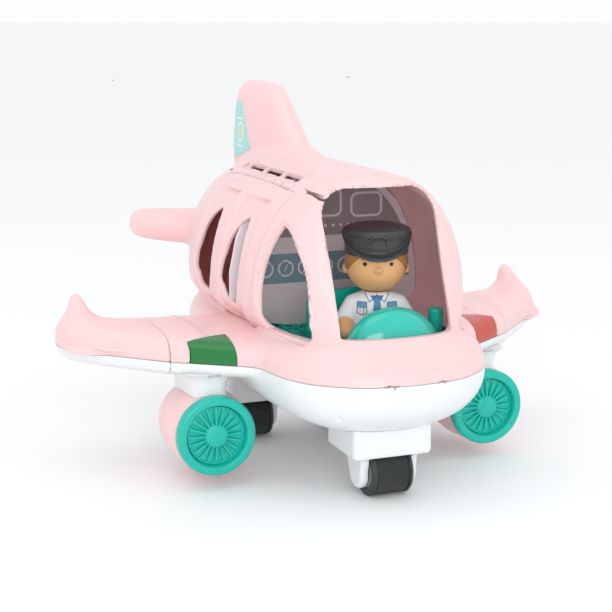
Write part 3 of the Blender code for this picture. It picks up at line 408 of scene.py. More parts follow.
PINK = plastic("pink_plastic", (0.90, 0.60, 0.605), 0.34, 0.012, 0.02)
pink_shader = PINK.node_tree.nodes["Principled BSDF"]
pink_shader.inputs["Subsurface Weight"].default_value = 0.45
pink_shader.inputs["Subsurface Radius"].default_value = (1.0, 0.7, 0.65)
pink_shader.inputs["Subsurface Scale"].default_value = 0.006

# Stations of the cabin: y, half width, bottom, widest height, top
CABIN = (
    (-141, 8, 80, 103, 150), (-139, 17, 80, 103, 164), (-135, 26, 80, 103, 173), (-129, 33, 80, 103, 178),
    (-120, 40.5, 80, 103, 180), (-110, 47.5, 80, 103, ROOF), (-97, 54.5, 80, 103, ROOF),
    (-80, 59.5, 80, 103, ROOF),
    (-60, 62.5, 80, 103, ROOF), (-30, 64.5, 80, 103, ROOF), (0, 65, 80, 103, ROOF),
    (30, 65, 80, 103, ROOF - 0.5),
    (55, 63, 80, 104, 179), (80, 57, 80, 107, 174), (100, 49.5, 80, 110, 167), (118, 39, 84, 113, 158),
    (132, 29, 91, 116, 148), (142, 19.5, 99, 118, 138), (148.5, 11, 107, 119, 130),
    (TAIL + 0.5, 3, 115, 120, 125),
)
# Stations of the belly: y, half width at the seam, bottom, top
BELLY = (
    (NOSE - 0.3, 3, 71.5, 74.5), (-149.5, 18, 65, 78), (-146, 30, 57, 81.5), (-140, 40, 50, 87),
    (-134, 47.5, 45.5, 93.5),
    (-126, 54.5, 41.5, 98), (-110, 61.5, 37.5, 100), (-83, 66, BOTTOM, 98), (-40, 68, BOTTOM, 96),
    (0, 68, BOTTOM, 94),
    (30, 66, 37, 92), (60, 62, 42, 92), (85, 55, 50, 92), (105, 45, 60, 94), (120, 35, 67, 96),
    (129, 26, 71, 97),
)
SQUARENESS = 2.3
SCREEN_RAKE = 0.405
WING_REAR = 23


def screen_pane(x, z):
    """Where the raked, slightly bowed windscreen lies."""
    return -134 + (z - 94) * SCREEN_RAKE + 0.006 * x * x


def cabin_section(x, y, z):
    waist = along(y, CABIN, 3)
    rise = np.where(z > waist, along(y, CABIN, 4) - waist, waist - along(y, CABIN, 2))
    return oval(x / along(y, CABIN, 1), (z - waist) / rise, SQUARENESS)


def belly_section(x, y, z):
    rise = np.where(z > PARTING, along(y, BELLY, 3) - PARTING, PARTING - along(y, BELLY, 2))
    return oval(x / along(y, BELLY, 1), (z - PARTING) / rise, SQUARENESS)


def leading_edge(out):
    return -83 + (np.minimum(out, WING_JOINT) - 66) * 0.70 + np.maximum(0, out - WING_JOINT)


def wing_section(x, y, z):
    out = np.abs(x)
    reach = np.clip((out - 138) / (HALF_SPAN + 1.5 - 138), 0, 0.97)
    shrink = np.sqrt(1 - reach**2)
    front = leading_edge(out)
    middle = (front + WING_REAR) / 2 + (1 - shrink) * 8
    half = (WING_REAR - front) / 2 * (0.35 + 0.65 * shrink)
    level = PARTING + 2.4 * np.maximum(0, out - WING_JOINT) / (HALF_SPAN - WING_JOINT)
    rise = np.where(z > level, 15 * (0.45 + 0.55 * shrink), 10.5 * (0.7 + 0.3 * shrink))
    return oval((y - middle) / half, (z - level) / rise, 3.2)


# Stations of the fin: z, front, rear, half thickness; and of a tailplane: out, front, rear, low, high
FIN = (
    (140, -2, 132, 12), (165, -4, 138, 13), (180, 8, 139, 13), (192, 24, 136, 12.5), (206, 41, 133, 11.5),
    (216, 53, 129, 9.8), (221.5, 61, 124, 7.6), (224.3, 69, 116, 4.6), (FIN_TOP + 0.2, 76, 108, 1.6),
)
TAILPLANE = (
    (18, 78, 130, 114, 138), (50, 86, 128, 116, 138.5), (70, 93, 125, 118.5, 139.5),
    (80, 97, 122, 120.5, 139.5),
    (86, 101, 118.5, 123, 137), (89, 107, 113, 127.5, 132),
)


def fin_section(x, y, z):
    front, rear = along(z, FIN, 1), along(z, FIN, 2)
    return oval((y - (front + rear) / 2) / ((rear - front) / 2), x / along(z, FIN, 3), 2.4)


def tailplane_section(x, y, z):
    out = np.abs(x)
    front, rear, low, high = (along(out, TAILPLANE, column) for column in (1, 2, 3, 4))
    return oval(
        (y - (front + rear) / 2) / ((rear - front) / 2), (z - (low + high) / 2) / ((high - low) / 2), 2.6
    )


cabin_skin, belly_skin, wing_skin = evened(cabin_section), evened(belly_section), evened(wing_section)
fin_skin, tailplane_skin = evened(fin_section), evened(tailplane_section)


def cabin(x, y, z):
    pane = (screen_pane(x, z) - y) / math.hypot(1, SCREEN_RAKE)
    return common(common(cabin_skin(x, y, z), pane, 5), y - TAIL, 2)


def belly(x, y, z):
    return common(belly_skin(x, y, z), slab(y, NOSE, 129), 2)


def wing(x, y, z):
    return common(wing_skin(x, y, z), np.abs(x) - HALF_SPAN, 6)


def airplane(x, y, z):
    """The whole outer skin but for the wing tips' fins."""
    whole = blend(belly(x, y, z), cabin(x, y, z), 4)
    whole = blend(whole, wing(x, y, z), 4)
    fin = common(fin_skin(x, y, z), slab(z, 140, FIN_TOP), 2)
    tailplane = common(tailplane_skin(x, y, z), slab(np.abs(x), 18, 88.5), 2)
    return blend(blend(whole, fin, 9), tailplane, 5)


ROOM_NOSE = -100


def cabin_room_section(x, y, z):
    back = y - WALL * ramp(ROOM_NOSE - y, 20) + WALL * ramp(y - 60, 40)
    waist = along(back, CABIN, 3)
    rise = np.where(z > waist, along(back, CABIN, 4) - waist, waist - along(back, CABIN, 2)) - WALL
    return oval(
        x / np.maximum(along(back, CABIN, 1) - WALL, 0.5), (z - waist) / np.maximum(rise, 0.5), SQUARENESS
    )


def belly_room_section(x, y, z):
    back = y - WALL * ramp(ROOM_NOSE - y, 20)
    rise = np.where(z > PARTING, along(back, BELLY, 3) - PARTING, PARTING - along(back, BELLY, 2)) - WALL
    wide = np.maximum(along(back, BELLY, 1) - WALL, 0.5)
    return oval(x / wide, (z - PARTING) / np.maximum(rise, 0.5), SQUARENESS)


cabin_room, belly_room = evened(cabin_room_section), evened(belly_room_section)


def room(x, y, z):
    """The hollow inside the skin, with the wall's thickness taken off every side."""
    pane = (screen_pane(x, z) + WALL * 1.1 - y) / math.hypot(1, SCREEN_RAKE)
    upper = common(cabin_room(x, y, z), np.maximum(pane, y - TAIL + WALL), 4)
    return np.minimum(upper, np.maximum(belly_room(x, y, z), slab(y, NOSE + WALL, 129 - WALL)))


def screen_opening(x, y, z):
    """The windscreen's outline: square at the sill and arched at the roof."""
    half, sill, arch = 33.5, 95, 174
    round_by = np.where(z > 135, 17, 2)
    across = np.abs(x) - half - 1.2 * ramp(z - 125, 40) + round_by
    rise = np.abs(z - (sill + arch) / 2) - (arch - sill) / 2 + round_by
    outline = np.minimum(np.maximum(across, rise), 0) + np.hypot(np.maximum(across, 0), np.maximum(rise, 0))
    return np.maximum(outline - round_by, y + 80)


def front_window(x, y, z, grow=0.0):
    """The arched side window behind the starboard windscreen pillar."""
    arch = (oval((y + 68) / 42.5, (z - 93) / 60, 2.3)) * 44 - grow
    rear = y + 67 + 0.0052 * (z - 110) ** 2 - grow
    return np.maximum(common(common(arch, rear, 2.5), 92 - grow - z, 1.5), x + 30)


DOOR_FRONT, DOOR_REAR, DOOR_SILL, DOOR_LEAN = -60, 60, 89, 6
door_hinge = next(joint for joint in frame["joints"] if joint["name"] == "door_hinge")
HINGE_X, _, HINGE_Z = mm(door_hinge["pos_m"])
PIN_FRONT, PIN_REAR = mm(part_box("hinge_pin")[0])[1] - 1, mm(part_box("hinge_pin")[1])[1] + 1
KNUCKLES = 7
KNUCKLE = 3.6
PITCH = (PIN_REAR - PIN_FRONT) / KNUCKLES
PLATE = 5.6


def door_outline(x, y, z, grow=0.0):
    """The side door's edge, seen from starboard."""
    top = HINGE_Z + 1.5
    front = beyond(y, z, (DOOR_FRONT + 4, DOOR_SILL), (DOOR_FRONT - DOOR_LEAN, top))
    rear = beyond(y, z, (DOOR_REAR - 2 * DOOR_LEAN, top), (DOOR_REAR, DOOR_SILL))
    sides = np.maximum(front, rear)
    return np.maximum(common(sides, slab(z, DOOR_SILL, top), 6) - grow, x - HINGE_X + KNUCKLE + 0.9 - grow)


def knuckles(x, y, z, first):
    """Every second knuckle of the hinge, from the first, with the strap that holds it."""
    at = (y - PIN_FRONT) / PITCH
    nearest = np.clip(
        2 * np.round((at - 0.5 - first) / 2) + first, first, KNUCKLES - 1 - (KNUCKLES - 1 - first) % 2
    )
    off_middle = np.abs(at - 0.5 - nearest) * PITCH
    barrel = common(bar(x, z, (HINGE_X, HINGE_Z), KNUCKLE), off_middle - PITCH / 2 + 0.3, 0.5)
    out = x - HINGE_X
    rise = np.where(out > 0, 0.45, 0.28) * out
    plate = np.maximum(np.abs(z - HINGE_Z - rise) - 1.1, slab(out, 0 if first == 0 else -9.2, PLATE))
    plate = common(plate, off_middle - PITCH / 2 + (0.1 if first == 0 else 0.5), 0.4)
    knuckle = blend(barrel, plate, 0.6)
    if first:
        return knuckle
    rib = np.maximum(
        np.abs(z - HINGE_Z - 0.65 * out) - 1.1, np.maximum(slab(out, 0, 11.5), off_middle - 1.5)
    )
    return blend(knuckle, rib, 0.6)


def pin_hole(x, z):
    return bar(x, z, (HINGE_X, HINGE_Z), 1.75)


LENS_NEAR, LENS_FAR = mm(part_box("nav_lens_port")[0])[0] - 0.3, mm(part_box("nav_lens_port")[1])[0] + 0.3
LENS_REAR = mm(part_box("nav_lens_port")[1])[1] + 0.3


def lens_seat(x, y, z, grow=0.0):
    outline = common(slab(np.abs(x), LENS_NEAR, LENS_FAR), y - LENS_REAR, 1.0)
    return np.maximum(outline - grow, PARTING - z)


def upper_shell(x, y, z):
    roof = np.maximum(slab(x, HINGE_X - 13, HINGE_X + 13), slab(y, PIN_FRONT - 1, PIN_REAR + 1))
    dip = 1.2 * ramp(-roof, 2.0) * (z > 140)
    dip = dip + 0.9 * ramp(1.8 - screen_opening(x, y, z), 0.8) * ramp(-76 - y, 4)
    dip = dip + 0.9 * ramp(-front_window(x, y, z, 2.2), 0.8) * (x < 0)
    shell = np.maximum(airplane(x, y, z) + dip, -room(x, y, z) - dip)
    shell = common(shell, np.maximum(PARTING + SEAM - z, np.abs(x) - WING_JOINT), 0.5)
    shell = carve(shell, screen_opening(x, y, z), 1.0)
    shell = carve(shell, front_window(x, y, z), 1.0)
    shell = carve(shell, door_outline(x, y, z, 0.3), 0.7)
    slot = np.maximum(slab(x, HINGE_X - 9, HINGE_X + 9), slab(y, PIN_FRONT, PIN_REAR))
    shell = carve(shell, np.maximum(slot, 158 - z), 0.7)
    shell = carve(shell, lens_seat(x, y, z), 0.4)
    return np.maximum(blend(shell, knuckles(x, y, z, 0), 0.5), -pin_hole(x, z))


mould(
    "upper_shell", upper_shell, (-WING_JOINT, NOSE, PARTING),
    (WING_JOINT, TAIL, FIN_TOP), CELL, PINK, "airframe",
    ("upper_shell", "tail_fin", "tailplane_starboard", "tailplane_port"),
)

# Side door: one pink moulding cut from the same cabin skin, with two leaf-shaped windows
# sunk in shallow flutes. It swings up on knuckles along its top edge, round a steel pin.
WINDOW_FRONTS = (-33.2, 16.8)


def window_leaf(x, y, z, front):
    """A window's outline: straight at its front edge and bowed at its rear."""
    rise = np.where(z > 112.5, 38.5, 13.8)
    leaf = (np.hypot((y - front) / 26, (z - 112.5) / rise) - 1) * 17
    return np.maximum(common(leaf, front + 0.004 * (z - 125) ** 2 - y, 3), x + 25)


def flute(y, z, front):
    """The shallow hollow that a window lies in, square at its top and round at its foot."""
    reach = np.where(z > 125, 2, 14)
    across = np.abs(y - (front + 6)) - 21 + reach
    rise = np.abs(z - 125.5) - 38 + reach
    outline = np.minimum(np.maximum(across, rise), 0) + np.hypot(np.maximum(across, 0), np.maximum(rise, 0))
    return outline - reach


def side_door(x, y, z):
    dip = 0
    for front in WINDOW_FRONTS:
        deep = 0.5 + 0.5 * ramp(front + 22 - y, 30)
        dip = dip + 3.0 * deep * ramp(-flute(y, z, front), 3.2)
    leaf = np.maximum(blend(belly(x, y, z), cabin(x, y, z), 4) + dip, -room(x, y, z) - dip)
    leaf = common(leaf, door_outline(x, y, z), 0.6)
    for front in WINDOW_FRONTS:
        leaf = carve(leaf, window_leaf(x, y, z, front), 1.1)
    leaf = carve(leaf, np.maximum(HINGE_X - KNUCKLE - 1.2 - x, 150 - z), 0.3)
    return np.maximum(blend(leaf, knuckles(x, y, z, 1), 0.5), -pin_hole(x, z))


door_low, door_high = (mm(corner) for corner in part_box("side_door"))
mould("side_door", side_door, door_low - 1, door_high + 1, CELL, PINK, "door", ("side_door",))

# Hull: the white lower half, with the undersides of the inner wings. It holds the
# batteries, speaker and switch, and its rim meets the pink shell at a hairline seam.
WHITE = plastic("white_plastic", (0.80, 0.815, 0.82), 0.34, 0.012)
COVER_LOW, COVER_HIGH = (mm(corner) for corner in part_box("battery_cover"))
SWITCH_LOW, SWITCH_HIGH = (mm(corner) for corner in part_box("power_switch"))
SPEAKER = (mm(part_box("speaker")[0]) + mm(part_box("speaker")[1])) / 2
SCREWS = {
    side: (mm(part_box("shell_screw_" + side)[0]) + mm(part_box("shell_screw_" + side)[1])) / 2
    for side in ("port", "starboard")
}
SOUND_HOLES = [(0, 0)] + [
    (4 * math.cos(k * math.tau / 6), 4 * math.sin(k * math.tau / 6)) for k in range(6)
]
MOULD_MARK = (-37.8, -132.9, 53.5)


def lower_hull(x, y, z):
    skin = blend(belly(x, y, z), wing(x, y, z), 5)
    skin = skin + 1.4 * ramp(
        2.6 - np.sqrt((x - MOULD_MARK[0]) ** 2 + (y - MOULD_MARK[1]) ** 2 + (z - MOULD_MARK[2]) ** 2), 1.0
    )
    hull = np.maximum(skin, -room(x, y, z))
    hull = common(hull, np.maximum(z - PARTING + SEAM, np.abs(x) - WING_JOINT), 0.5)
    under = 45 - z
    cover = common(
        slab(x, COVER_LOW[0] - 0.5, COVER_HIGH[0] + 0.5),
        slab(y, COVER_LOW[1] - 0.5, COVER_HIGH[1] + 0.5),
        1.5,
    )
    hull = carve(hull, np.maximum(cover, -under), 0.4)
    slot = common(
        slab(x, SWITCH_LOW[0] - 0.4, SWITCH_HIGH[0] + 0.4),
        slab(y, SWITCH_LOW[1] - 0.4, SWITCH_HIGH[1] + 5.4),
        0.5,
    )
    hull = carve(hull, np.maximum(slot, -under), 0.3)
    for across, back_by in SOUND_HOLES:
        hull = np.maximum(
            hull, -np.maximum(bar(x, y, (SPEAKER[0] + across, SPEAKER[1] + back_by), 0.95), -under)
        )
    for centre in SCREWS.values():
        hull = carve(hull, np.maximum(bar(x, y, centre, 2.9), z - PARTING + 6.6), 0.4)
    return hull


hull_low, hull_high = (mm(corner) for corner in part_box("lower_hull"))
mould("lower_hull", lower_hull, hull_low, hull_high, CELL, WHITE, "airframe", ("lower_hull",))

# Wing tips: each a pink upper and a white lower half, plugged on the inner wing. The
# upper half turns up at its end into a small rounded fin.
WINGLET = (
    (76, 145.8, 0, 21, 12),
    (78, 146, 3, 18, 10.5),
    (86, 146.5, 9, 13.5, 8.6),
    (94, 147, 13.5, 9, 6),
    (100, 147, 17, 5, 3.6),
    (103, 147, 18.7, 1.4, 1.2),
)


def winglet_section(x, y, z):
    middle, rear, half_y, half_x = (along(z, WINGLET, column) for column in (1, 2, 3, 4))
    return oval((np.abs(x) - middle) / half_x, (y - rear) / half_y, 2.2)


winglet_skin = evened(winglet_section)


def wing_tip(x, y, z):
    winglet = common(winglet_skin(x, y, z), slab(z, 74, 102.6), 1)
    return common(blend(wing(x, y, z), winglet, 8), WING_JOINT + SEAM - np.abs(x), 0.5)


def upper_tip(x, y, z):
    return common(wing_tip(x, y, z), PARTING + SEAM - z, 0.5)


def lower_tip(x, y, z):
    return common(wing_tip(x, y, z), z - PARTING + SEAM, 0.5)


for side in ("starboard", "port"):
    for half, form, finish, slot in (
        ("upper", upper_tip, PINK, "pink_body"), ("lower", lower_tip, WHITE, "white_body")
    ):
        name = f"wing_tip_{half}_{side}"
        tip_low, tip_high = (mm(corner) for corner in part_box(name))
        mould(name, form, tip_low, tip_high, CELL, finish, "airframe", (name,))

# Navigation lenses: clear-tinted covers let into the wings' leading edges, green to
# starboard and red to port, with a lamp behind each and dark joints round them.
def lens_finish(name, colour):
    """Tinted clear plastic, polished outside and faintly ribbed within."""
    made = plastic(name, colour, 0.10, 0.03, 0.02, 0.25, 0.15)
    nodes, link = made.node_tree.nodes, made.node_tree.links.new
    place, ribs, push = (nodes.new("ShaderNode" + kind) for kind in ("TexCoord", "TexWave", "Bump"))
    ribs.bands_direction = "X"
    ribs.inputs["Scale"].default_value = 130
    push.inputs["Strength"].default_value = 0.06
    push.inputs["Distance"].default_value = 0.0004
    link(place.outputs["Object"], ribs.inputs["Vector"])
    link(ribs.outputs["Fac"], push.inputs["Height"])
    link(nodes["Bump"].outputs["Normal"], push.inputs["Normal"])
    link(push.outputs["Normal"], nodes["Principled BSDF"].inputs["Normal"])
    return made


def nav_lens(x, y, z):
    skin = wing(x, y, z) + 0.1
    cover = np.maximum(skin, -skin - 2.2)
    inside = common(slab(np.abs(x), LENS_NEAR + 0.35, LENS_FAR - 0.35), y - LENS_REAR + 0.35, 0.8)
    return common(cover, np.maximum(inside, PARTING + SEAM - z), 0.4)


for side, tint in (("starboard", (0.0, 0.20, 0.035)), ("port", (0.60, 0.04, 0.018))):
    name = "nav_lens_" + side
    lens_low, lens_high = (mm(corner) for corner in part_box(name))
    slot = "green_lens" if side == "starboard" else "red_lens"
    mould(name, nav_lens, lens_low, lens_high, 0.7, lens_finish(slot, tint), "airframe", (name,))

# Undercarriage: three white forks moulded with their mounting blocks and glued under the
# hull, each holding a black ribbed wheel on a steel axle.
def round_box(x, y, z, low, high, radius):
    """A block between two corners, with every edge rounded."""
    away = [np.abs(place - (a + b) / 2) - (b - a) / 2 + radius for place, a, b in zip((x, y, z), low, high)]
    inner = np.minimum(np.maximum(np.maximum(away[0], away[1]), away[2]), 0)
    return inner + np.sqrt(sum(np.maximum(part, 0) ** 2 for part in away)) - radius


def tapered_bar(u, v, start, end, start_radius, end_radius):
    """A flat bar between two round ends of different radius."""
    du, dv = end[0] - start[0], end[1] - start[1]
    share = np.clip(((u - start[0]) * du + (v - start[1]) * dv) / (du * du + dv * dv), 0, 1)
    radius = start_radius + (end_radius - start_radius) * share
    return np.hypot(u - start[0] - share * du, v - start[1] - share * dv) - radius


def fork_form(place):
    """The fork of one wheel, made to the size of its tyre and mounting block."""
    tyre_low, tyre_high = (mm(corner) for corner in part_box(place + "_tyre"))
    block_low, block_high = (mm(corner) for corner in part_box(place + "_gear_fork"))
    middle = (tyre_low + tyre_high) / 2
    half = (tyre_high[0] - tyre_low[0]) / 2 + 0.6
    radius = middle[2]
    cheek = 4.4

    def fork(x, y, z):
        over = np.abs(x - middle[0])
        block = round_box(
            x, y, z,
            (block_low[0], block_low[1], radius + 10),
            (block_high[0], block_high[1], radius + 50),
            3,
        )
        leg = tapered_bar(y, z, (middle[1] + 2, radius - 0.5), (middle[1] + 5.5, radius + 22), 9.2, 16)
        legs = common(leg, over - half - cheek, 2.2)
        fork = blend(block, legs, 2.5)
        well = np.maximum(bar(y, z, (middle[1], radius), radius + 1.8), over - half)
        below = np.maximum(np.maximum(z - radius - 3, over - half), np.abs(y - middle[1]) - 30)
        return carve(carve(fork, np.minimum(well, below), 0.7), belly(x, y, z) - 0.1, 0.4)

    return fork, block_low, block_high


WHEELS = ("nose", "main_starboard", "main_port")
for place in WHEELS:
    form, block_low, block_high = fork_form(place)
    mould(
        f"{place}_gear_fork",
        form,
        block_low - 1,
        block_high + (1, 1, 4),
        1.0,
        WHITE,
        "airframe",
        (f"{place}_gear_fork",),
    )

# Tyres: hard black rings with fine ribs across the tread between two plain shoulders.
RIBS = 64
TREAD = (
    (-12.5, 9.8, 0),
    (-12.5, 12.6, 0),
    (-12.1, 13.5, 0),
    (-11.3, 14.0, 0),
    (-10.2, 14.0, 0),
    (-10.0, 13.2, 0),
    (-9.4, 13.2, 0),
    (-9.2, 13.75, 1),
)


def tyre_finish():
    """Black vinyl with painted shade: darker in its grooves and lighter on its ribs, as the surface's
    pointiness gives it.
    """
    made = plastic("black_tyre", (0.022, 0.025, 0.026), 0.5, 0.15, 0.25)
    nodes, link = made.node_tree.nodes, made.node_tree.links.new
    # Painted shade: a colour ramp on pointiness makes the grooves darker and the ribs lighter, mixed in as
    # the tyre's second colour.
    shape = nodes.new("ShaderNodeNewGeometry")
    painted_groove_shade = nodes.new("ShaderNodeValToRGB")
    painted_groove_shade.color_ramp.elements[0].position = 0.45
    painted_groove_shade.color_ramp.elements[1].position = 0.62
    painted_groove_shade.color_ramp.elements[0].color = (0.016, 0.018, 0.019, 1)
    painted_groove_shade.color_ramp.elements[1].color = (0.055, 0.062, 0.064, 1)
    link(shape.outputs["Pointiness"], painted_groove_shade.inputs["Fac"])
    link(painted_groove_shade.outputs["Color"], nodes["Group"].inputs["Drift colour"])
    return made


TYRE = tyre_finish()
for place in WHEELS:
    tyre_low, tyre_high = (mm(corner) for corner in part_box(place + "_tyre"))
    middle = (tyre_low + tyre_high) / 2
    across = TREAD + tuple((-x, r, rib) for x, r, rib in reversed(TREAD))
    steps = RIBS * 4
    points, faces = [], []
    for step in range(steps):
        angle = math.tau * step / steps
        for x, radius, ribbed in across:
            r = radius - (0.45 * (step % 4 >= 2) if ribbed else 0)
            points.append((middle[0] + x, middle[1] + r * math.cos(angle), middle[2] + r * math.sin(angle)))
    row = len(across)
    for step in range(steps):
        after = (step + 1) % steps
        faces += [
            (step * row + i, after * row + i, after * row + (i + 1) % row, step * row + (i + 1) % row)
            for i in range(row)
        ]
    body = {
        "nose": "nose_wheel", "main_starboard": "main_wheel_starboard", "main_port": "main_wheel_port"
    }[place]
    mesh_piece(place + "_tyre", points, faces, TYRE, body, (place + "_tyre",), smooth_below=32)

# Engines: a pink turned pod under each wing on a white pylon, closed in front by a teal
# ring with a fixed teal fan of twenty blades. The rings and fans are pressed in.
TEAL = plastic("teal_plastic", (0.004, 0.455, 0.365), 0.27, 0.02)
BLADES = 20


def turned_piece(
    name, profile, centre, steps, finish, body, stands_for, closed=True, smooth_below=40
):
    """A ring turned about a fore-and-aft axis from (radius, distance back) pairs."""
    points = [
        (
            centre[0] + r * math.cos(math.tau * k / steps),
            centre[1] + back,
            centre[2] + r * math.sin(math.tau * k / steps),
        )
        for r, back in profile
        for k in range(steps)
    ]
    rows = len(profile) if closed else len(profile) - 1
    faces = []
    for row in range(rows):
        a, b = row * steps, (row + 1) % len(profile) * steps
        faces += [(a + k, b + k, b + (k + 1) % steps, a + (k + 1) % steps) for k in range(steps)]
    return mesh_piece(name, points, faces, finish, body, stands_for, smooth_below=smooth_below)


def arc(centre, radius, start, end, count):
    """Points of a rounded corner in a turned profile, from one angle to the other in degrees."""
    turns = [math.radians(start + (end - start) * k / (count - 1)) for k in range(count)]
    return [(centre[0] + radius * math.cos(a), centre[1] + radius * math.sin(a)) for a in turns]


POD = (
    (0, 0.895),
    (0.13, 0.975),
    (0.28, 1.0),
    (0.46, 0.967),
    (0.67, 0.85),
    (0.85, 0.62),
    (0.955, 0.33),
    (1.0, 0.02),
)
for side in ("starboard", "port"):
    ring_low, ring_high = (mm(corner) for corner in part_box("intake_ring_" + side))
    pod_low, pod_high = (mm(corner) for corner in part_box("engine_nacelle_" + side))
    centre = (ring_low + ring_high) / 2
    hub = (centre[0], ring_low[1], centre[2])
    outer = (ring_high[2] - ring_low[2]) / 2
    bore = (mm(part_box("engine_fan_" + side)[1])[0] - mm(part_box("engine_fan_" + side)[0])[0]) / 2 + 0.3
    depth = ring_high[1] - ring_low[1]
    lip = arc((outer - 1.9, 1.9), 1.9, 0, -90, 7) + arc((outer - 4.2, 0.9), 0.9, -90, -150, 4)
    lip += [(outer - 5.3, 1.3), (bore + 0.35, 3.0), (bore, 3.6), (bore, depth), (outer, depth)]
    turned_piece(
        "intake_ring_" + side, lip[::-1], hub, 128, TEAL, "airframe", ("intake_ring_" + side,)
    )

    length = pod_high[1] - pod_low[1]
    wide = (pod_high[0] - pod_low[0]) / 2
    shares = np.linspace(0, 1, 40) ** 0.8
    skin = [(wide * float(along(np.array(share), POD, 1)), length * share) for share in shares]
    skin += [(wide * 0.895 - 2.4, 3.0), (wide * 0.895 - 2.4, 0.6), (wide * 0.895 - 1.9, 0)]
    turned_piece(
        "engine_nacelle_" + side,
        skin,
        (centre[0], pod_low[1], centre[2]),
        128,
        PINK,
        "airframe",
        ("engine_nacelle_" + side,),
    )

    fan_rear = mm(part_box("engine_fan_" + side)[1])[1]
    turns, rows = BLADES * 12, 30
    points, faces = [(centre[0], fan_rear - 5.4, centre[2])], []
    for row in range(rows):
        r = (bore - 0.3) * (row + 1) / rows
        for k in range(turns):
            blade = math.cos(BLADES * math.tau * k / turns)
            ridge = 1 / (1 + math.exp(-(blade + 0.15 - 0.2 * (r - 8) / 8) * 7))
            dome = 5.4 - 0.9 * (r / 6.4) ** 2 if r < 6.4 else 0
            slope = 3.9 - 0.10 * (r - 7)
            height = dome if r < 6.4 else (1.6 + (slope - 1.6) * ridge if r < bore - 1.4 else 2.6)
            if 6.4 <= r < 7.2:
                height = 3.9
            points.append(
                (
                    centre[0] + r * math.cos(math.tau * k / turns),
                    fan_rear - height,
                    centre[2] + r * math.sin(math.tau * k / turns),
                )
            )
    faces += [(0, 1 + k, 1 + (k + 1) % turns) for k in range(turns)]
    for row in range(rows - 1):
        a = 1 + row * turns
        faces += [
            (a + k, a + turns + k, a + turns + (k + 1) % turns, a + (k + 1) % turns) for k in range(turns)
        ]
    rim = 1 + (rows - 1) * turns
    points += [(x, fan_rear, z) for x, _, z in points[rim : rim + turns]]
    faces += [
        (rim + k, rim + turns + k, rim + turns + (k + 1) % turns, rim + (k + 1) % turns)
        for k in range(turns)
    ]
    faces.append(tuple(rim + turns + k for k in range(turns)))
    mesh_piece(
        "engine_fan_" + side,
        points,
        faces,
        TEAL,
        "airframe",
        ("engine_fan_" + side,),
        smooth_below=50,
    )

    pylon_low, pylon_high = (mm(corner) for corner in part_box("engine_pylon_" + side))
    pylon_middle = (pylon_low + pylon_high) / 2
    half_thick, half_long = (pylon_high[0] - pylon_low[0]) / 2, (pylon_high[1] - pylon_low[1]) / 2

    def pylon(x, y, z):
        post = evened_post(x, y, z) - 1.5 - 2.0 * np.exp((z - PARTING + 9) / 3)
        pod = np.hypot(x - centre[0], z - centre[2]) - wide + 1.5
        return np.maximum(np.maximum(post, -pod), np.maximum(-wing(x, y, z) - 1.5, z - PARTING + 6))

    evened_post = evened(
        lambda x,
        y,
        z: oval((x - pylon_middle[0]) / half_thick, (y - pylon_middle[1]) / half_long, 3.5) + 0 * z,
    )
    mould(
        "engine_pylon_" + side,
        pylon,
        pylon_low - (3, 3, 6),
        pylon_high + (3, 3, 1),
        1.0,
        WHITE,
        "airframe",
        ("engine_pylon_" + side,),
    )

# Cockpit: a teal floor tray with rows of low studs and a peg for the pilot, moulded seats,
# a control lever and a wide glossy button that presses down on the sound switch.
TEAL_GLOSS = plastic("teal_gloss", (0.004, 0.50, 0.40), 0.12, 0.03, 0.02, 0.8, 0.0)
FLOOR_SPAN = [mm(corner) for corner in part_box("cabin_floor")]
FLOOR_TOP = FLOOR_SPAN[0][2] + 2.6
BUTTON = (mm(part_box("sound_button")[0]) + mm(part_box("sound_button")[1])) / 2
PILOT = (mm(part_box("pilot_head")[0]) + mm(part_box("pilot_head")[1])) / 2
STUD_PITCH = 7


def cabin_floor(x, y, z):
    tray = np.maximum(slab(z, FLOOR_TOP - 2.6, FLOOR_TOP), room(x, y, z) + 0.8)
    tray = np.maximum(tray, slab(y, FLOOR_SPAN[0][1], FLOOR_SPAN[1][1]))
    stud_x = x - STUD_PITCH * np.round(x / STUD_PITCH)
    stud_y = y - STUD_PITCH * np.round(y / STUD_PITCH)
    studs = common(np.hypot(stud_x, stud_y) - 2.2, slab(z, FLOOR_TOP - 1, FLOOR_TOP + 1.6), 0.5)
    inside = np.maximum(
        room(x, y, FLOOR_TOP - 2.6 + 0 * z) + 3, slab(y, FLOOR_SPAN[0][1] + 5, FLOOR_SPAN[1][1] - 4)
    )
    tray = blend(tray, np.maximum(studs, inside), 0.4)
    peg = common(bar(x, y, PILOT, 5), slab(z, FLOOR_TOP - 1, FLOOR_TOP + 8), 0.8)
    return carve(blend(tray, peg, 0.5), bar(x, y, BUTTON, 6), 0.3)


mould(
    "cabin_floor",
    cabin_floor,
    FLOOR_SPAN[0] - 1,
    FLOOR_SPAN[1] + (1, 1, 9),
    0.8,
    TEAL,
    "airframe",
    ("cabin_floor",),
)


def seat_form(low, high, back_thick):
    """A seat with a low cushion in front of an upright back, as its corners give it."""

    def seat(x, y, z):
        cushion = round_box(x, y, z, low, (high[0], high[1], low[2] + 8), 2.2)
        crown = high[2] - 5 * ((x - (low[0] + high[0]) / 2) / (high[0] - low[0]) * 2) ** 2
        rest = round_box(x, y, z + high[2] - crown, (low[0], high[1] - back_thick, low[2]), high, 2.2)
        hollow = bar(x, z, ((low[0] + high[0]) / 2, high[2] - 11), (high[0] - low[0]) * 0.32)
        rest = carve(rest, np.maximum(hollow, y - high[1] + back_thick - 1.1), 0.6)
        return blend(cushion, rest, 1.5)

    return seat


for name in ("pilot_seat", "passenger_seat_front", "passenger_seat_rear"):
    seat_low, seat_high = (mm(corner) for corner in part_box(name))
    mould(
        name,
        seat_form(seat_low, seat_high, 5.5),
        seat_low,
        seat_high,
        1.0,
        TEAL,
        "airframe",
        (name,),
    )

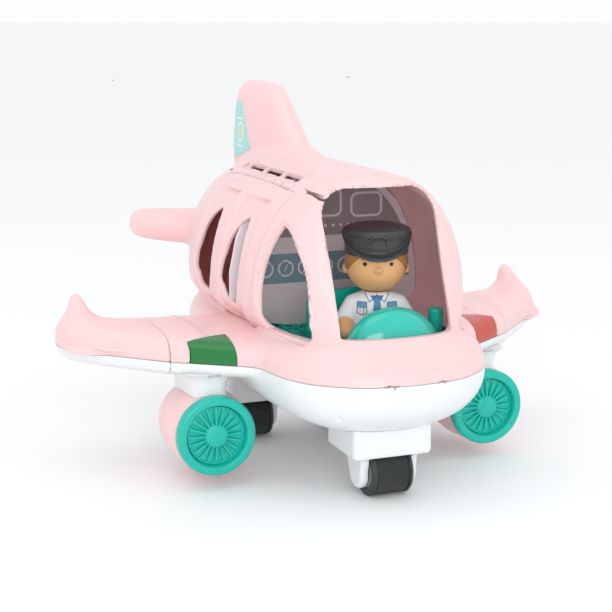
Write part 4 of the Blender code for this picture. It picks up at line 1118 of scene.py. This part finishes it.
lever_low, lever_high = (mm(corner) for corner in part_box("control_lever"))
lever_middle = (lever_low + lever_high) / 2


def control_lever(x, y, z):
    """A round post with three thin discs at its foot."""
    shaft = common(bar(x, y, lever_middle, 4.2), slab(z, lever_low[2], lever_high[2] + 6), 1.4)
    for level in (0.9, 3.1, 5.3):
        disc = common(
            bar(x, y, lever_middle, 7.0 - level * 0.3),
            slab(z, lever_low[2] + level - 0.7, lever_low[2] + level + 0.7),
            0.4,
        )
        shaft = np.minimum(shaft, disc)
    return shaft


mould(
    "control_lever",
    control_lever,
    lever_low - 4,
    lever_high + (4, 4, 7),
    0.6,
    TEAL,
    "airframe",
    ("control_lever",),
)

button_low, button_high = (mm(corner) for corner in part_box("sound_button"))
half_wide, half_deep = (button_high[0] - button_low[0]) / 2, (button_high[1] - button_low[1]) / 2
dome_foot = FLOOR_TOP + 2.3


def sound_button(x, y, z):
    """A tall oval dome with a narrow rim, on a stem through the floor."""
    u, v = (x - BUTTON[0]) / (half_wide * 1.08), (y - BUTTON[1]) / half_deep
    rise = (z - dome_foot) / (button_high[2] - dome_foot)
    return (np.sqrt(u * u + v * v + np.maximum(rise, 0) ** 2) - 1) * half_deep


def button_whole(x, y, z):
    dome = np.maximum(button_skin(x, y, z), dome_foot - z)
    rim = common(button_skin(x, y, dome_foot + z * 0) - 0.6, slab(z, dome_foot, dome_foot + 2.0), 0.5)
    stem = np.maximum(bar(x, y, BUTTON, 5.5), slab(z, button_low[2], dome_foot + 2))
    return np.minimum(blend(dome, rim, 0.5), stem)


button_skin = evened(sound_button)
mould(
    "sound_button",
    button_whole,
    button_low - 5,
    button_high + (5, 5, 1),
    0.9,
    TEAL_GLOSS,
    "button",
    ("sound_button",),
)

# Bulkhead: a grey-lavender card behind the pilot with a printed instrument panel: a dark
# top with rounded screens, and a blue-grey band of round dials.
BULKHEAD_GREY = plastic("bulkhead_grey", (0.80, 0.70, 0.74), 0.5, 0.03)
DIAL_BLUE = plastic("printed_blue_grey", (0.22, 0.33, 0.40), 0.45, 0.05)
PRINT_DARK = plastic("printed_dark_grey", (0.34, 0.28, 0.30), 0.5, 0.05)
PRINT_PALE = plastic("printed_pale_grey", (0.80, 0.72, 0.74), 0.5, 0.03)
bulkhead = frame["nodes"]["bulkhead"]
bulkhead.data.materials.clear()
bulkhead.data.materials.append(BULKHEAD_GREY)
PRINT_Y = mm(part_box("bulkhead")[0])[1]
bulkhead_low, bulkhead_high = (mm(corner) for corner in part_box("bulkhead"))


def print_on_bulkhead(name, outline, layer, finish):
    """A printed patch on the bulkhead's front face, as its outline in x and z gives it."""

    def patch(x, y, z):
        ink = np.maximum(outline(x, z), slab(y, PRINT_Y - 0.35 - 0.3 * layer, PRINT_Y + 1.5))
        return np.maximum(ink, room(x, y, z) + 5)

    low = (bulkhead_low[0], PRINT_Y - 1.5, bulkhead_low[2])
    high = (bulkhead_high[0], PRINT_Y + 2, bulkhead_high[2])
    return mould(name, patch, low, high, 0.9, finish, "airframe")


def frame_2d(u, v, half_u, half_v, corner):
    across, rise = np.abs(u) - half_u + corner, np.abs(v) - half_v + corner
    inner = np.minimum(np.maximum(across, rise), 0)
    return inner + np.hypot(np.maximum(across, 0), np.maximum(rise, 0)) - corner


def screen_frames(x, z):
    left = np.abs(frame_2d(x + 2, z - 156, 12, 8, 4)) - 0.7
    right = np.abs(frame_2d(x - 27, z - 154, 10, 7, 4)) - 0.7
    switches = np.hypot((x - 5 * np.round(x / 5)), z - 142) - 0.9
    return np.minimum(np.minimum(left, right), np.maximum(switches, slab(x, -12, 40)))


def dial_rings(x, z):
    across = x - 13 * np.round(x / 13)
    dial = np.hypot(across, z - 117)
    ring = np.abs(dial - 4.6) - 0.55
    hand = np.maximum(np.abs(across - (z - 117) * 0.6) - 0.45, dial - 3.4)
    return np.maximum(np.minimum(ring, hand), slab(x, -45, 45))


print_on_bulkhead("bulkhead_dark_print", lambda x, z: np.maximum(136 - z, np.abs(x) - 60), 0, PRINT_DARK)
print_on_bulkhead("bulkhead_dial_band", lambda x, z: slab(z, 108, 126) + 0 * x, 0, DIAL_BLUE)
print_on_bulkhead("bulkhead_screens", screen_frames, 1, PRINT_PALE)
print_on_bulkhead("bulkhead_dials", dial_rings, 1, PRINT_PALE)

# Pilot: a chunky moulded figure in two clicked-together parts and a cap, painted by pad
# printing. It lifts off the floor's peg, and faces a little to starboard.
SHIRT = plastic("figure_shirt", (0.76, 0.78, 0.80), 0.38, 0.02)
SKIN = plastic("figure_skin", (0.72, 0.395, 0.175), 0.42, 0.03)
HAIR = plastic("figure_hair", (0.36, 0.155, 0.045), 0.5, 0.10)
CAP = plastic("figure_cap", (0.035, 0.038, 0.040), 0.42, 0.12, 0.1)
INK_BLACK = plastic("ink_black", (0.012, 0.013, 0.016), 0.3)
TIE_BLUE = plastic("ink_blue", (0.015, 0.165, 0.36), 0.35)
POCKET_BLUE = plastic("ink_light_blue", (0.13, 0.33, 0.56), 0.35)
LINE_BLUE = plastic("ink_navy", (0.05, 0.085, 0.15), 0.35)
TURN = math.radians(-20)
BASE = mm(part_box("pilot_body")[0])[2]
HEAD_BASE = mm(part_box("pilot_head")[0])[2]
CAP_BASE = mm(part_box("pilot_cap")[0])[2]
EYES_Z = HEAD_BASE + 17.6


def facing(x, y):
    """A place in the figure's own directions: out to its left, and forwards."""
    u, v = x - PILOT[0], y - PILOT[1]
    return u * math.cos(TURN) + v * math.sin(TURN), u * math.sin(TURN) - v * math.cos(TURN)


def ball(u, v, w, centre, sizes):
    squares = sum(((place - at) / size) ** 2 for place, at, size in zip((u, v, w), centre, sizes))
    near = sum(((place - at) / size**2) ** 2 for place, at, size in zip((u, v, w), centre, sizes))
    return np.sqrt(squares) * (np.sqrt(squares) - 1) / np.maximum(np.sqrt(near), 1e-3)


def limb(u, v, w, start, end, start_radius, end_radius):
    away = [end[k] - start[k] for k in range(3)]
    share = sum((place - start[k]) * away[k] for k, place in enumerate((u, v, w)))
    share = np.clip(share / sum(part * part for part in away), 0, 1)
    gap = np.sqrt(sum((place - start[k] - share * away[k]) ** 2 for k, place in enumerate((u, v, w))))
    return gap - start_radius - (end_radius - start_radius) * share


def torso(x, y, z):
    u, v = facing(x, y)
    w = z - BASE
    sizes = (
        (0, 14.5, 10.6),
        (4, 15.6, 11.6),
        (14, 14.6, 11.2),
        (21, 15.4, 11),
        (27, 14.2, 10),
        (30, 11, 8.8),
        (32, 8, 7),
    )
    body = oval(u / along(w, sizes, 1), v / along(w, sizes, 2), 2.3) * 10
    body = common(body, slab(w, 0, 31.4), 1.2)
    for sign in (-1, 1):
        body = blend(body, limb(u, v, w, (sign * 12.5, 0.5, 23.5), (sign * 17.3, 2.5, 16.5), 6.2, 5.6), 2.5)
    return body


torso_skin = evened(torso)


def shirt(x, y, z):
    socket = np.maximum(bar(x, y, PILOT, 5.5), z - BASE - 14)
    return np.maximum(torso_skin(x, y, z), -socket)


def arms(x, y, z):
    u, v = facing(x, y)
    w = z - BASE
    whole = None
    for sign in (-1, 1):
        arm = limb(u, v, w, (sign * 17.6, 3.2, 16.5), (sign * 17.0, 9.0, 10.5), 4.6, 4.1)
        hand = ball(u, v, w, (sign * 16.8, 10.4, 9.2), (4.5, 4.8, 4.5))
        arm = blend(arm, hand, 2)
        whole = arm if whole is None else np.minimum(whole, arm)
    neck = common(np.hypot(u, v * 1.05) - 6.9, slab(w, 27, 31.8), 0.3)
    return np.minimum(whole, neck)


body_low, body_high = (mm(corner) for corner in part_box("pilot_body"))
mould(
    "pilot_shirt",
    shirt,
    body_low - 3,
    body_high + (3, 3, 2),
    0.7,
    SHIRT,
    "pilot",
    ("pilot_body",),
)
mould("pilot_arms", arms, body_low - 6, body_high + (6, 6, 2), 0.7, SKIN, "pilot", ())


def face(x, y, z):
    u, v = facing(x, y)
    w = z - HEAD_BASE
    sizes = (
        (-0.6, 4.5), (0.8, 8.2), (3, 11.7), (6, 14.4), (9.5, 16.2), (13.5, 17.0), (18, 17.1), (23.6, 16.6)
    )
    wide = along(w, sizes, 1)
    skull = evened_head(u, v, w, wide)
    for sign in (-1, 1):
        ear = ball(u, v, w, (sign * 17.2, -1.6, 12.6), (2.0, 2.6, 3.2))
        skull = blend(skull, ear, 0.8)
    return blend(skull, ball(u, v, w, (0, 16.4, 14.2), (2.0, 2.4, 1.7)), 1.6)


def evened_head(u, v, w, wide):
    deep = np.where(v > 0, 0.98, 0.94)
    shell = (np.hypot(u / wide, v / (wide * deep)) - 1) * wide
    return common(shell * 0.8, slab(w, 0, 21.8), 1.5)


head_low, head_high = (mm(corner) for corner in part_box("pilot_head"))
mould(
    "pilot_head",
    face,
    head_low - (3, 4, 1),
    head_high + (3, 3, 1),
    0.6,
    SKIN,
    "pilot",
    ("pilot_head",),
)


def hair(x, y, z):
    u, v = facing(x, y)
    w = z - HEAD_BASE
    wide = along(w, ((0, 8), (3, 12.6), (6, 15.2), (9.5, 17.0), (13.5, 17.9), (18, 18.0), (23.6, 17.6)), 1)
    shell = (np.hypot(u, v / 0.97) - wide) * 0.85
    front = v - np.where(
        w > 13, np.minimum(np.abs(u) * 0.55 - 1.0 + (w - 15) * 1.5, 15), (w - 13) * 0.5 + 1
    )
    nape = 6.5 - w + np.maximum(0, v + 6) * 0.6
    return common(common(common(shell, front, 0.8), nape, 0.8), w - 21.9, 0.5)


mould("pilot_hair", hair, head_low - (3, 4, 1), head_high + (3, 3, 1), 0.6, HAIR, "pilot")


def printed_on(name, skin, outline, proud, low, high, finish, cell=0.3):
    """A painted mark: the skin it lies on, raised by the paint's thickness, inside an outline."""
    return mould(
        name,
        lambda x,
        y,
        z: np.maximum(np.maximum(skin(x, y, z) - proud, -skin(x, y, z) - 0.6), outline(x, y, z)),
        low,
        high,
        cell,
        finish,
        "pilot",
    )


def on_figure(u, v, w):
    """A place given in the figure's directions, in the toy's."""
    return np.array(
        (
            PILOT[0] + u * math.cos(TURN) + v * math.sin(TURN),
            PILOT[1] + u * math.sin(TURN) - v * math.cos(TURN),
            w,
        )
    )


def eyes(x, y, z):
    u, v = facing(x, y)
    return np.maximum(np.hypot(np.abs(u) - 7.5, z - EYES_Z) - 1.15, -v)


eye_low = np.minimum(on_figure(-10, 12, EYES_Z - 2), on_figure(10, 12, EYES_Z - 2)) - 5
eye_high = np.maximum(on_figure(-10, 12, EYES_Z + 2), on_figure(10, 12, EYES_Z + 2)) + 5
printed_on("pilot_eyes", face, eyes, 0.12, eye_low, eye_high, INK_BLACK)


def eyebrows(x, y, z):
    u, v = facing(x, y)
    bow = z - EYES_Z - 2.7 + (np.abs(u) - 7.6) ** 2 * 0.09
    return np.maximum(np.maximum(np.abs(bow) - 0.28, slab(np.abs(u), 5.6, 9.4)), -v)


printed_on("pilot_eyebrows", face, eyebrows, 0.10, eye_low, eye_high, HAIR)

chest_low = np.minimum(on_figure(-13, 9, BASE + 2), on_figure(13, 9, BASE + 2)) - 6
chest_high = np.maximum(on_figure(-13, 9, BASE + 32), on_figure(13, 9, BASE + 32)) + 6


def tie(x, y, z):
    u, v = facing(x, y)
    w = z - BASE - 1.8
    knot = np.maximum(np.abs(u) - (w - 24.4) * 0.7 - 1.1, slab(w, 25.4, 28.6))
    blade = np.maximum(np.abs(u) - (1.8 + (25.6 - w) * 0.085), slab(w, 11.5, 25.8))
    return np.maximum(np.minimum(knot, blade), -v)


def collar(x, y, z):
    u, v = facing(x, y)
    w = z - BASE - 1.8
    across = np.abs(u)
    outer = beyond(across, w, (4.4, 25.0), (6.9, 30.2))
    inner = beyond(across, w, (0.6, 28.4), (4.4, 25.0))
    return np.maximum(np.maximum(np.maximum(-outer, -inner), w - 29.6 - across * 0.12), -v)


def collar_line(x, y, z):
    return np.maximum(np.maximum(np.abs(collar(x, y, z)) - 0.22, z - BASE - 31.4), -facing(x, y)[1])


def pocket(x, y, z):
    u, v = facing(x, y)
    w = z - BASE - 3
    point = 16.2 + (np.abs(np.abs(u) - 8.6)) * 0.35
    return np.maximum(
        common(np.abs(np.abs(u) - 8.6) - 2.7, slab(w, 16.2, 23.6), 0.3), np.maximum(point - w, -v)
    )


def pocket_flap(x, y, z):
    u, _ = facing(x, y)
    across = np.abs(u) - 8.6
    scallop = 20.6 - 0.8 * np.abs(np.sin(across * 1.75))
    return np.maximum(pocket(x, y, z) + 0.25, scallop - z + BASE + 3)


def pocket_line(x, y, z):
    u, _ = facing(x, y)
    across = np.abs(np.abs(u) - 8.6)
    bars = np.maximum(np.abs(across - 1.0) - 0.16, pocket(x, y, z))
    return np.minimum(np.abs(pocket(x, y, z)) - 0.2, bars)


chest = (chest_low, chest_high)
printed_on("pilot_collar", torso_skin, collar, 0.35, *chest, SHIRT)
printed_on("pilot_collar_line", torso_skin, collar_line, 0.42, *chest, LINE_BLUE)
printed_on("pilot_tie", torso_skin, tie, 0.38, *chest, TIE_BLUE)
printed_on("pilot_pocket_flaps", torso_skin, pocket_flap, 0.14, *chest, POCKET_BLUE)
printed_on("pilot_pocket_lines", torso_skin, pocket_line, 0.2, *chest, LINE_BLUE)


def cap_crown(u, v, w):
    sizes = (
        (-1, 17.6),
        (0, 17.8),
        (3.4, 18.0),
        (4.4, 18.3),
        (8, 18.8),
        (11.5, 19.6),
        (13.8, 19.4),
        (15.6, 17),
        (17.3, 10),
        (18.2, 3),
    )
    wide = along(w, sizes, 1)
    lean = v - 0.04 * w
    return common((np.hypot(u, lean / 0.95) - wide) * 0.8, slab(w, 0, 17.0 - 0.09 * v), 1.6)


def cap(x, y, z):
    u, v = facing(x, y)
    w = z - CAP_BASE
    crown = cap_crown(u, v, w)
    band = common(np.hypot(u, v / 0.95) - 18.3, slab(w, 0.1, 4.0), 0.5)
    crown = blend(crown, band, 0.6)
    seam = np.abs(w - 12.0 + 0.06 * v) - 0.35
    crown = np.minimum(crown, common(crown - 0.35, seam, 0.3))
    badge = np.maximum(np.hypot(u, np.maximum(w - 7.0, 0)) - 5.9, 3.0 - w)
    plate = np.maximum(np.maximum(np.abs(crown + 0.2) - 1.0, badge), -v)
    groove = np.maximum(np.abs(np.hypot(u, np.maximum(w - 7.0, 0)) - 4.3) - 0.35, -v)
    plate = np.maximum(plate, -np.maximum(groove, 0.3 - crown))
    crown = blend(crown, plate, 0.3)
    peak_w = w - 0.9 + (v - 17) * 0.5 - u * u * 0.006
    peak = np.maximum(np.hypot(u * 1.04, v - 1.2) - 20.4, np.abs(peak_w) - 0.85)
    peak = common(np.maximum(peak, -v + 1), 12.0 - np.hypot(u, v), 0.3)
    return blend(crown, peak * 0.9, 0.8)


cap_low, cap_high = (mm(corner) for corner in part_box("pilot_cap"))
mould(
    "pilot_cap",
    cap,
    cap_low - (3, 3, 3),
    cap_high + (3, 3, 1.5),
    0.6,
    CAP,
    "pilot",
    ("pilot_cap",),
)

# Stickers: thin printed film on the fin's flanks, with a plain disc and two stripes, and
# a small round badge on each side of the nose.
FILM = plastic("turquoise_film", (0.36, 0.71, 0.68), 0.35, 0.02, 0.02)
FILM_WHITE = plastic("white_print", (0.86, 0.88, 0.87), 0.35, 0.01, 0.02)
FILM_YELLOW = plastic("yellow_print", (0.80, 0.68, 0.25), 0.35, 0.02, 0.02)


def fin_panel(y, z, grow=0.0):
    """The sticker's outline: it keeps to the fin's rear, between two level edges."""
    front = beyond(y, z, (80, 180.2), (103.6, 210.9))
    foot = beyond(y, z, (132, 168.5), (80, 180.2))
    return np.maximum(np.maximum(front, foot), np.maximum(z - 210, y - 128)) - grow


def film(name, outline, proud, low, high, finish):
    def patch(x, y, z):
        skin = airplane(x, y, z)
        return np.maximum(np.maximum(skin - proud, -skin - 1.2), outline(x, y, z))

    return mould(name, patch, low, high, 0.6, finish, "airframe")


def emblem_disc(x, y, z):
    return np.maximum(np.hypot(y - 103, z - 190) - 3.0, 6 - np.abs(x))


def emblem_rings(x, y, z):
    ring = np.abs(np.hypot(y - 103, z - 190) - 6.2) - 0.7
    stripes = np.maximum(np.abs(np.abs(z - 190) - 9.2) - 0.6, slab(y, 97, 112))
    return np.maximum(np.minimum(ring, stripes), np.maximum(fin_panel(y, z) + 1.5, 6 - np.abs(x)))


for side, sign in (("starboard", -1), ("port", 1)):
    low = np.array((min(sign * 4, sign * 15), 76, 166))
    high = np.array((max(sign * 4, sign * 15), 132, 212))
    film(
        "fin_sticker_" + side,
        lambda x,
        y,
        z: np.maximum(fin_panel(y, z), 5 - np.abs(x)),
        0.15,
        low,
        high,
        FILM,
    )
    film("fin_disc_" + side, emblem_disc, 0.3, low, high, FILM_YELLOW)
    film("fin_rings_" + side, emblem_rings, 0.3, low, high, FILM_WHITE)

badge_low, badge_high = np.array((52, -98, 76)), np.array((74, -70, 98))
film("nose_badge", lambda x, y, z: np.hypot(y + 80, z - 87) - 4.6, 0.15, badge_low, badge_high, INK_BLACK)
film(
    "nose_badge_middle",
    lambda x,
    y,
    z: np.hypot(y + 80, z - 87) - 2.9,
    0.3,
    badge_low,
    badge_high,
    FILM_WHITE,
)

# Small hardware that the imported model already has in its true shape: steel pins and
# screws, hubs, the battery box with its cells, board, speaker, lamps and switch.
STEEL = plastic("plated_steel", (0.62, 0.61, 0.59), 0.3, 0.06, 0.1)
STEEL.node_tree.nodes["Principled BSDF"].inputs["Metallic"].default_value = 1.0
GREY = plastic("grey_plastic", (0.30, 0.30, 0.32), 0.42, 0.04)
BOARD = plastic("board_green", (0.02, 0.16, 0.05), 0.4, 0.08)
JACKET = plastic("cell_jacket", (0.10, 0.28, 0.12), 0.35, 0.04)
CLEAR = plastic("lamp_clear", (0.85, 0.87, 0.88), 0.12, 0.02, 0.02, 0.5, 0.3)
HARDWARE = {
    STEEL: ["hinge_pin", "cover_screw", "shell_screw_port", "shell_screw_starboard"] + [
        place + "_axle" for place in WHEELS
    ],
    GREY: ["power_switch", "speaker"] + [place + "_hub" for place in WHEELS],
    WHITE: ["battery_box", "battery_cover"],
    BOARD: ["circuit_board"],
    JACKET: ["battery_cell_1", "battery_cell_2", "battery_cell_3"],
    CLEAR: ["nav_led_port", "nav_led_starboard"],
}
for finish, names in HARDWARE.items():
    for name in names:
        frame["nodes"][name].data.materials.clear()
        frame["nodes"][name].data.materials.append(finish)
